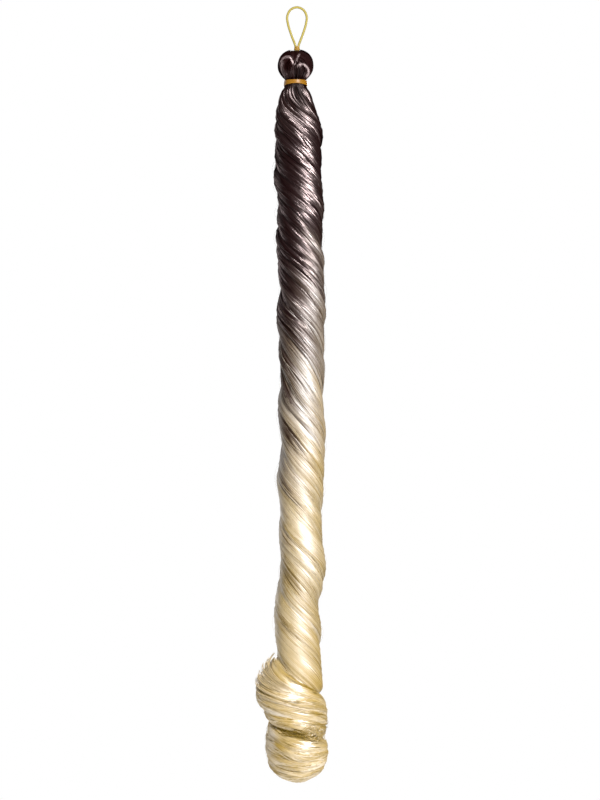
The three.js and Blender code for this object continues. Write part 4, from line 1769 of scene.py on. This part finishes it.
@dataclass
class CurledTail:
    """The end of the hank, wound into a loose curl."""

    form: CurlForm = field(default_factory=CurlForm)
    # Painted shade: the deeper layer is painted darker.
    layers: tuple[Layer, ...] = (
        Layer(fibres=52, depth=0.45, jitter=0.25, width=1.05, tone=0.0),
        Layer(fibres=80, depth=0.0, jitter=0.8, width=0.64, tone=0.12),
    )
    wisps: int = 9
    steps: int = 60
    start_angle: float = -262.0
    end_angle: float = 606.0
    start_spread: Span = (-14.0, 14.0)
    end_spread: Span = (-40.0, 10.0)
    widest_roll: float = 118.0
    surface: float = 0.05
    lowlight_share: float = 0.06
    second_turn: Span = (180.0, 300.0)
    lock_bend: Unevenness = Unevenness((0.08, 0.06), (150.0, 330.0))
    lock_roll: Unevenness = Unevenness((12.0,), (200.0, 360.0))
    wisp_roll: Unevenness = Unevenness((11.0, 8.0), (110.0, 300.0))
    fibre_roll: Unevenness = Unevenness((3.0, 2.2), (60.0, 180.0))
    wisp_swell: Unevenness = Unevenness((0.12, 0.1), (90.0, 240.0))
    wisp_wave: Unevenness = Unevenness((0.1, 0.08), (80.0, 220.0))
    fibre_wave: Unevenness = Unevenness((0.05, 0.04), (60.0, 160.0))
    lock_tone: Unevenness = Unevenness((0.34, 0.26), (60.0, 150.0))
    wisp_tone: Unevenness = Unevenness((0.24, 0.18), (60.0, 150.0))
    wound_lean: float = 20.0
    swirl_fibres: int = 80
    swirl_steps: int = 48
    swirl_width: float = 0.6
    swirl_turn: float = 330.0
    swirl_weave: Unevenness = Unevenness((4.0, 3.0), (120.0, 300.0))
    swirl_rise: Unevenness = Unevenness((0.3, 0.2), (90.0, 240.0))
    swirl_wave: Unevenness = Unevenness((0.15, 0.1), (90.0, 200.0))
    stray_fibres: int = 60
    stray_steps: int = 30
    stray_width: float = 0.24
    tangle_fibres: int = 110
    tangle_width: float = 0.42
    tangle_lean: float = 65.0
    tangle_weave: Unevenness = Unevenness((1.4, 1.0), (25.0, 70.0))
    tangle_rise: Unevenness = Unevenness((0.9, 0.7), (25.0, 70.0))
    knot_angle: float = 40.0
    knot_width: float = 26.0
    inner_fibres: int = 70
    inner_steps: int = 26
    inner_width: float = 0.6
    inner_lean: float = 40.0
    inner_weave: Unevenness = Unevenness((0.5, 0.4), (30.0, 80.0))
    inner_line: SmoothTable = SmoothTable(
        names=("angle", "drop", "reach"),
        rows=(
            (100.0, 558.0, 9.8), (140.0, 562.0, 11.4), (180.0, 570.0, 14.6), (220.0, 578.0, 18.3),
            (280.0, 588.0, 20.6),
        ),
    )
    tuft_fibres: int = 18
    tuft_steps: int = 24
    tuft_width: float = 0.6
    tuft_lean: float = 120.0
    tuft_spread: Triple = (0.35, 0.8, 0.5)
    tuft_facing: Triple = (-0.35, -0.9, 0.1)
    tufts: Rows = (
        (-18.6, 3.0, 529.0, -112.0, -1.0, 55.0), (-22.8, 3.0, 533.0, -107.0, -0.95, 46.0),
        (-27.6, 2.0, 537.5, -99.0, -0.85, 32.0), (-30.6, 1.0, 543.0, -96.0, -0.7, 22.0),
        (-33.2, 0.0, 549.0, -92.0, -0.45, 8.0),
        (-32.8, 0.0, 555.0, -92.0, -0.2, 0.0),
    )
    cores: Rows = ((570.0, -5.0, 16.5, 40.0), (611.5, 0.6, 20.5, 22.6))
    core_inset: float = 1.2
    core_steps: int = 90
    core_ends: Row = (0.4, 0.75, 0.95)
    # Painted shade: the curl's core is painted dark, less so round the right and towards the bottom.
    core_right: Window = Window((5.0, 45.0), (100.0, 160.0))
    core_low: Span = (603.0, 613.0)
    voxel: float = 1.3
    seed: int = 41

    def __post_init__(self) -> None:
        """Starts the curl's own unevenness."""
        self.chance = np.random.default_rng(self.seed)

    def lock(self, place: float, layer: Layer) -> Fibres:
        """Lays one layer of fibres of one of the wound locks.

        Args:
            place: Where the lock lies across the band, from -1 to 1.
            layer: The layer.

        Returns:
            The fibres.
        """
        chance, count, wisps = self.chance, layer.fibres, self.wisps
        t = shares(self.steps)
        begin = self.start_angle + chance.uniform(*self.start_spread, (count, 1))
        finish = self.end_angle + chance.uniform(*self.end_spread, (count, 1))
        angle = begin + (finish - begin) * t
        usual = self.start_angle + (self.end_angle - self.start_angle) * t
        share, wisp, in_wisp = parted(chance, count, wisps)
        bend = self.lock_bend.lines(chance, 1, usual)
        roll = self.widest_roll - 2.0 * self.widest_roll * share[:, None]
        roll = roll + self.lock_roll.lines(chance, 1, usual)
        roll = roll + layer.jitter * self.wisp_roll.lines(chance, wisps, usual)[wisp]
        roll = roll + self.fibre_roll.lines(chance, count, usual)
        swell = self.wisp_swell.lines(chance, wisps, usual)[wisp]
        depth = layer.depth + 0.22 * chance.random((count, 1)) ** 2 + 0.1 * in_wisp[:, None] ** 2
        lift = self.surface - depth + swell
        points, outward = self.form.place(place + bend, angle, roll, lift)
        side = np.cross(unit(np.gradient(points, axis=1)), outward)
        outward = unit(outward - side * 0.1 * in_wisp[:, None, None])
        tilt = self.wisp_wave.lines(chance, wisps, usual)[wisp]
        tilt = tilt + self.fibre_wave.lines(chance, count, usual)
        tilt = tilt - 0.05 - 0.15 * smoothstep(usual, *self.second_turn)
        tone = 0.3 * chance.normal(0, 1, (wisps, 1))[wisp]
        tone = tone + 0.17 * chance.normal(0, 1, (count, 1)) + layer.tone
        tone = tone + self.lock_tone.lines(chance, 1, usual)
        tone = tone + self.wisp_tone.lines(chance, wisps, usual)[wisp]
        tone = tone - 0.55 * (chance.random((count, 1)) < self.lowlight_share)
        width = layer.width * chance.uniform(0.65, 1.25, (count, 1))
        return Fibres(points, outward, width, BLONDE, tone, tilt, faded_lean=self.wound_lean)

    def swirl(self) -> Fibres:
        """Lays fibres in sweeps under the bottom of the curl.

        Returns:
            The fibres.
        """
        chance, count, wisps = self.chance, self.swirl_fibres, self.wisps
        drop, centre, radius, height = self.cores[1]
        t = shares(self.swirl_steps)
        sweep = self.swirl_turn * t
        share = (np.arange(count)[:, None] + 0.5) / count
        wisp = (share[:, 0] * wisps).astype(int)
        angle = chance.uniform(0.0, 360.0, (count, 1)) + sweep
        weave = self.swirl_weave.lines(chance, wisps, sweep)[wisp]
        fall = np.radians(100.0 + 74.0 * share + 6.0 * t + weave)
        rise = 0.35 + self.swirl_rise.lines(chance, wisps, sweep)[wisp]
        reach = (radius + rise) * np.sin(fall)
        depth = drop - (height + rise) * np.cos(fall)
        points = around(angle, reach, depth, centre, self.form.centre_y)
        outward = unit(points - np.array((centre, self.form.centre_y, -drop)))
        tone = 0.35 * chance.normal(0, 1, (wisps, 1))[wisp]
        tone = tone + 0.35 * chance.normal(0, 1, (count, 1)) - 0.1
        tilt = self.swirl_wave.lines(chance, count, sweep)
        return Fibres(points, outward, self.swirl_width, BLONDE, tone, tilt, faded_lean=self.wound_lean)

    def strays(self) -> Fibres:
        """Lays loose fibres that cross the gaps between the locks.

        Returns:
            The fibres.
        """
        chance, count = self.chance, self.stray_fibres
        t = shares(self.stray_steps)
        begin = chance.uniform(-130.0, 330.0, (count, 1))
        angle = begin + chance.uniform(60.0, 170.0, (count, 1)) * t
        start = chance.uniform(-1.0, 1.3, (count, 1))
        place = np.clip(start + chance.normal(0, 0.5, (count, 1)) * (t - 0.3), -1.2, 1.35)
        lift = -0.3 + chance.uniform(0.4, 1.8, (count, 1)) * np.sin(np.pi * t)
        points, outward = self.form.place(place, angle, np.zeros_like(angle), lift)
        tone = chance.normal(0.1, 0.6, (count, 1))
        tilt = chance.normal(0, 0.25, (count, 1))
        return Fibres(points, outward, self.stray_width * tapered(t, 0.3, 0.1), BLONDE, tone, tilt)

    def tangle(self) -> Fibres:
        """Lays the ruffled fibres in the crease between the two turns, painted dark as painted shade.

        Returns:
            The fibres.
        """
        chance, count = self.chance, self.tangle_fibres
        t = shares(self.inner_steps)
        span = chance.uniform(35.0, 120.0, (count, 1))
        angle = chance.uniform(-150.0, 120.0, (count, 1)) + span * t
        row = chance.uniform(-1.0, 1.0, (count, 1))
        bunch = np.exp(-(((angle - self.knot_angle) / self.knot_width) ** 2))
        drop = 590.4 + 0.075 * angle + (4.2 + 1.8 * bunch) * row - 3.5 * bunch
        drop = drop + (1.0 + bunch) * self.tangle_weave.lines(chance, count, span[:1] * t)
        reach = 21.2 + 1.6 * np.abs(row) + 2.4 * bunch
        reach = reach + self.tangle_rise.lines(chance, count, span[:1] * t)
        points = around(angle, reach, drop, 0.0, self.form.centre_y)
        # Painted shade: the crease's fibres are painted dark, less so from the front towards the right.
        tone = chance.normal(-1.3, 0.3, (count, 1)) + 1.15 * smoothstep(angle, -5.0, 40.0)
        width = self.tangle_width * tapered(t, 0.25, 0.12)
        return Fibres(points, outward_at(angle), width, BLONDE, tone, faded_lean=self.tangle_lean)

    def inner_turn(self) -> Fibres:
        """Lays the fibres that show between the two turns at the back.

        Returns:
            The fibres.
        """
        chance, count = self.chance, self.inner_fibres
        t = shares(self.inner_steps)
        begin = chance.uniform(80.0, 190.0, (count, 1))
        angle = begin + chance.uniform(55.0, 110.0, (count, 1)) * t
        row = chance.uniform(-1.0, 1.0, (count, 1))
        weave = self.inner_weave.lines(chance, count, 90.0 * t)
        drop = self.inner_line.read("drop", angle) + 6.5 * row + weave
        reach = self.inner_line.read("reach", angle) + 0.6 + 1.8 * row**2 + 0.3 * weave
        points = around(angle, reach, drop, 0.0, self.form.centre_y)
        # Painted shade: the fibres between the turns are painted darker.
        tone = chance.normal(-0.5, 0.3, (count, 1))
        width = self.inner_width * tapered(t, 0.25, 0.12)
        return Fibres(points, outward_at(angle), width, BLONDE, tone, faded_lean=self.inner_lean)

    def tuft(self, row: Row) -> Fibres:
        """Lays one tapered wisp whose tip stands off the start of the first turn.

        Args:
            row: Where its tip stands, the angle where it joins the band, and its place and roll there.

        Returns:
            The fibres.
        """
        tip_x, tip_y, tip_drop, start, place, roll = row
        chance, count = self.chance, self.tuft_fibres
        t = shares(self.tuft_steps)
        spread = chance.normal(0, 1, (count, 1))
        full = smoothstep(t, 0.0, 0.5)
        angle = start + chance.uniform(-5.0, 5.0, (count, 1)) + chance.uniform(80.0, 125.0, (count, 1)) * t
        across = np.clip(place + 0.25 * t + 0.24 * spread * full, -1.0, 1.0)
        lift = 0.2 - 0.7 * smoothstep(t, 0.45, 1.0) + 0.15 * chance.normal(0, 1, (count, 1))
        lean = roll * (1.0 - 0.5 * t) + 14.0 * spread * full
        points, outward = self.form.place(across, angle, lean, lift)
        tip = np.array((tip_x, tip_y, -tip_drop))
        tip = tip + chance.normal(0, 1, (count, 3)) * np.array(self.tuft_spread)
        points = points + (tip - points[:, 0])[:, None] * (1.0 - t[..., None]) ** 2.6
        outward = unit(outward * t[..., None] + np.array(self.tuft_facing) * (1.0 - t[..., None]))
        # Painted light: the tufts are painted lighter, most towards their thin tips.
        tone = chance.normal(0.7, 0.25, (count, 1)) + 0.5 * (1.0 - t)
        tilt = chance.normal(0, 0.1, (count, 1))
        width = self.tuft_width * tapered(t, 0.15, 0.3)
        return Fibres(points, outward, width, BLONDE, tone, tilt, faded_lean=self.tuft_lean)

    def core(self) -> Shape:
        """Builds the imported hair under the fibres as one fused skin.

        Returns:
            The closed shape.
        """
        rounds = []
        angle = np.linspace(self.start_angle - 30.0, self.end_angle + 10.0, self.core_steps)
        ends = len(self.core_ends)
        for place in self.form.places:
            path = self.form.middle(np.full(len(angle), place), angle)
            thick = self.form.stations.read("thick", angle) - self.core_inset
            thick[:ends] *= self.core_ends
            thick[-ends:] *= self.core_ends[::-1]
            rounds.append(tube_shape(path, thick, 16))
        for drop, centre, radius, height in self.cores:
            fall = np.radians(np.linspace(4.0, 176.0, 30))[:, None]
            reach = (radius - self.core_inset) * np.sin(fall)
            depth = drop - (height - self.core_inset) * np.cos(fall)
            points = around(circle(40)[None, :], reach, depth, centre, self.form.centre_y)
            rounds.append(grid_shape(points, {Trait.ALONG: DARK, Trait.ACROSS: DARK}))
        joined = placed("curl_rounds", Shape.joined(rounds).mesh("curl_rounds"))
        fuse = joined.modifiers.new("fuse", "REMESH")
        fuse.mode = "VOXEL"
        fuse.voxel_size = self.voxel * MM
        soften = joined.modifiers.new("soften", "SMOOTH")
        soften.factor, soften.iterations = 0.5, 4
        solved = joined.evaluated_get(bpy.context.evaluated_depsgraph_get()).to_mesh()
        points = np.zeros(len(solved.vertices) * 3, dtype=np.float32)
        solved.vertices.foreach_get("co", points)
        points = points.reshape(-1, 3) / MM
        faces = [tuple(face.vertices) for face in solved.polygons]
        quads = np.array([face for face in faces if len(face) == 4], dtype=int).reshape(-1, 4)
        corners = np.array([face for face in faces if len(face) == 3], dtype=int).reshape(-1, 3)
        bpy.data.objects.remove(joined)
        turn = np.degrees(np.arctan2(points[:, 0], -points[:, 1]))
        low = smoothstep(-points[:, 2], *self.core_low)
        traits = {
            Trait.OMBRE: np.ones(len(points)),
            # Painted shade in the gaps between the fibres, less dark round the right and towards the bottom.
            Trait.TONE: -1.1 + 0.6 * self.core_right.share(turn) + 0.9 * low,
            Trait.ACROSS: points[:, 2] + 6.0 * np.sin(np.radians(turn)),
            Trait.ALONG: turn * 0.4,
        }
        return Shape(points, quads, corners, traits)

    def build(self, hair: Material) -> None:
        """Builds the curl.

        Args:
            hair: The hair's material.
        """
        self.core().piece("curl_core", hair, Slot.HANK, Node.HANK)
        laid = FibreMesh([self.lock(place, layer) for place in self.form.places for layer in self.layers])
        laid.shape().piece("curl_fibres", hair, Slot.HANK, Node.HANK)
        ruffled = [self.swirl(), self.strays(), self.tangle()]
        tufts = [self.tuft(row) for row in self.tufts]
        loose = FibreMesh([*ruffled, *tufts, self.inner_turn()])
        loose.shape().piece("curl_loose_fibres", hair, Slot.HANK, Node.HANK)


@dataclass(frozen=True)
class SoftLight:
    """A soft studio light that looks at the middle of the object."""

    name: str
    angle: float
    height: float
    distance: float
    size: Span
    power: float
    tint: Triple = (1.0, 1.0, 1.0)
    glossy: bool = True

    def build(self, target: Vector) -> None:
        """Hangs the light.

        Args:
            target: The point that it looks at.
        """
        data = bpy.data.lights.new(self.name, "AREA")
        data.shape = "RECTANGLE"
        data.size, data.size_y = self.size
        data.energy = self.power
        data.color = self.tint
        made = placed(self.name, data)
        turn = math.radians(self.angle)
        away = Vector((math.sin(turn), -math.cos(turn), 0.0)) * self.distance
        made.location = target + away + Vector((0.0, 0.0, self.height))
        made.rotation_euler = (target - made.location).to_track_quat("-Z", "Y").to_euler()
        made.visible_camera = False
        made.visible_glossy = self.glossy


@dataclass
class Studio:
    """The camera, the soft lights, the white surroundings and the pale floor."""

    camera_place: Triple = (0.0025, -1.822, -0.321)
    lens: float = 100.0
    sensor: float = 36.0
    middle: Triple = (0.0, 0.0, -0.32)
    floor_drop: float = 0.8
    floor_radius: float = 0.58
    floor_sides: int = 96
    paper_tones: Span = (0.86, 0.9)
    paper_grain: float = 90.0
    paper_detail: float = 2.0
    paper_roughness: float = 0.85
    white: Tint = (1.0, 1.0, 1.0, 1.0)
    glow: float = 0.32
    gloss_glow: float = 0.03
    lights: tuple[SoftLight, ...] = (
        SoftLight("key_light", 24.0, 0.4, 1.2, (0.34, 0.6), 34.0, (1.0, 0.99, 0.975)),
        SoftLight("fill_light", -40.0, 0.1, 1.6, (0.8, 1.3), 10.5, glossy=False),
        SoftLight("left_rim_light", -128.0, 0.1, 1.4, (0.7, 1.2), 4.5),
        SoftLight("back_light", 176.0, 0.3, 1.5, (0.8, 1.2), 46.0),
    )

    def camera(self) -> None:
        """Sets up the camera straight on to the front."""
        data = bpy.data.cameras.new("front_camera")
        data.lens = self.lens
        data.sensor_width = self.sensor
        made = placed("front_camera", data)
        made.location = self.camera_place
        made.rotation_euler = (math.radians(90.0), 0.0, 0.0)
        bpy.context.scene.camera = made

    def surroundings(self) -> None:
        """Makes the white surroundings, which light the object less than they show."""
        world = bpy.data.worlds.new("white_tent")
        world.use_nodes = True
        bpy.context.scene.world = world
        tree = world.node_tree
        glow = tree.nodes["Background"]
        seen = tree.nodes.new("ShaderNodeBackground")
        for background in (seen, glow):
            background.inputs["Color"].default_value = self.white
        path = tree.nodes.new("ShaderNodeLightPath")
        dim = tree.nodes.new("ShaderNodeMath")
        dim.operation = "MULTIPLY_ADD"
        dim.inputs[1].default_value = self.gloss_glow - self.glow
        dim.inputs[2].default_value = self.glow
        tree.links.new(path.outputs["Is Glossy Ray"], dim.inputs[0])
        tree.links.new(dim.outputs[0], glow.inputs["Strength"])
        mix = tree.nodes.new("ShaderNodeMixShader")
        tree.links.new(path.outputs["Is Camera Ray"], mix.inputs[0])
        tree.links.new(glow.outputs[0], mix.inputs[1])
        tree.links.new(seen.outputs[0], mix.inputs[2])
        tree.links.new(mix.outputs[0], tree.nodes["World Output"].inputs["Surface"])

    def floor(self) -> None:
        """Lays a round pale floor below the object."""
        points = around(circle(self.floor_sides), self.floor_radius / MM, self.floor_drop / MM)
        mesh = bpy.data.meshes.new("pale_floor")
        mesh.from_pydata((points * MM).tolist(), [], [list(range(self.floor_sides))])
        graph = Graph("pale_paper")
        grain = graph.noise(self.paper_grain, self.paper_detail)
        dark, light = ((tone, tone, tone, 1.0) for tone in self.paper_tones)
        ramp = graph.ramp(grain.outputs["Fac"], ((0.0, dark), (1.0, light)))
        graph.link(ramp.outputs["Color"], graph.shader.inputs["Base Color"])
        graph.shader.inputs["Roughness"].default_value = self.paper_roughness
        mesh.materials.append(graph.material)
        placed("pale_floor", mesh)

    def build(self) -> None:
        """Sets up everything round the object but the camera."""
        bpy.context.scene.view_settings.view_transform = "Standard"
        self.surroundings()
        self.floor()
        for light in self.lights:
            light.build(Vector(self.middle))


OMBRE_HAIR = HairFinish(
    "ombre_hair_fibre",
    stops=(
        (0.0, (20, 7, 7)),
        (0.2, (54, 42, 36)),
        (0.45, (106, 94, 80)),
        (0.7, (146, 130, 104)),
        (0.9, (161, 142, 102)),
        (1.0, (168, 143, 84)),
    ),
)

DARK_HAIR = HairFinish(
    "dark_hair_fibre",
    stops=((0.0, (27, 9, 9)), (1.0, (60, 36, 34))),
    roughness=(0.27, 0.46),
)


def main() -> None:
    """Builds the object and its studio, piece by piece."""
    logging.basicConfig(level=logging.INFO, format="%(name)s: %(message)s")
    studio = Studio()
    studio.camera()
    HangingLoop().build()
    hair = OMBRE_HAIR.make()
    TieBand().build()
    FoldedHead().build(DARK_HAIR.make())
    TwistedHank().build(hair)
    CurledTail().build(hair)
    studio.build()


if __name__ == "__main__":
    main()
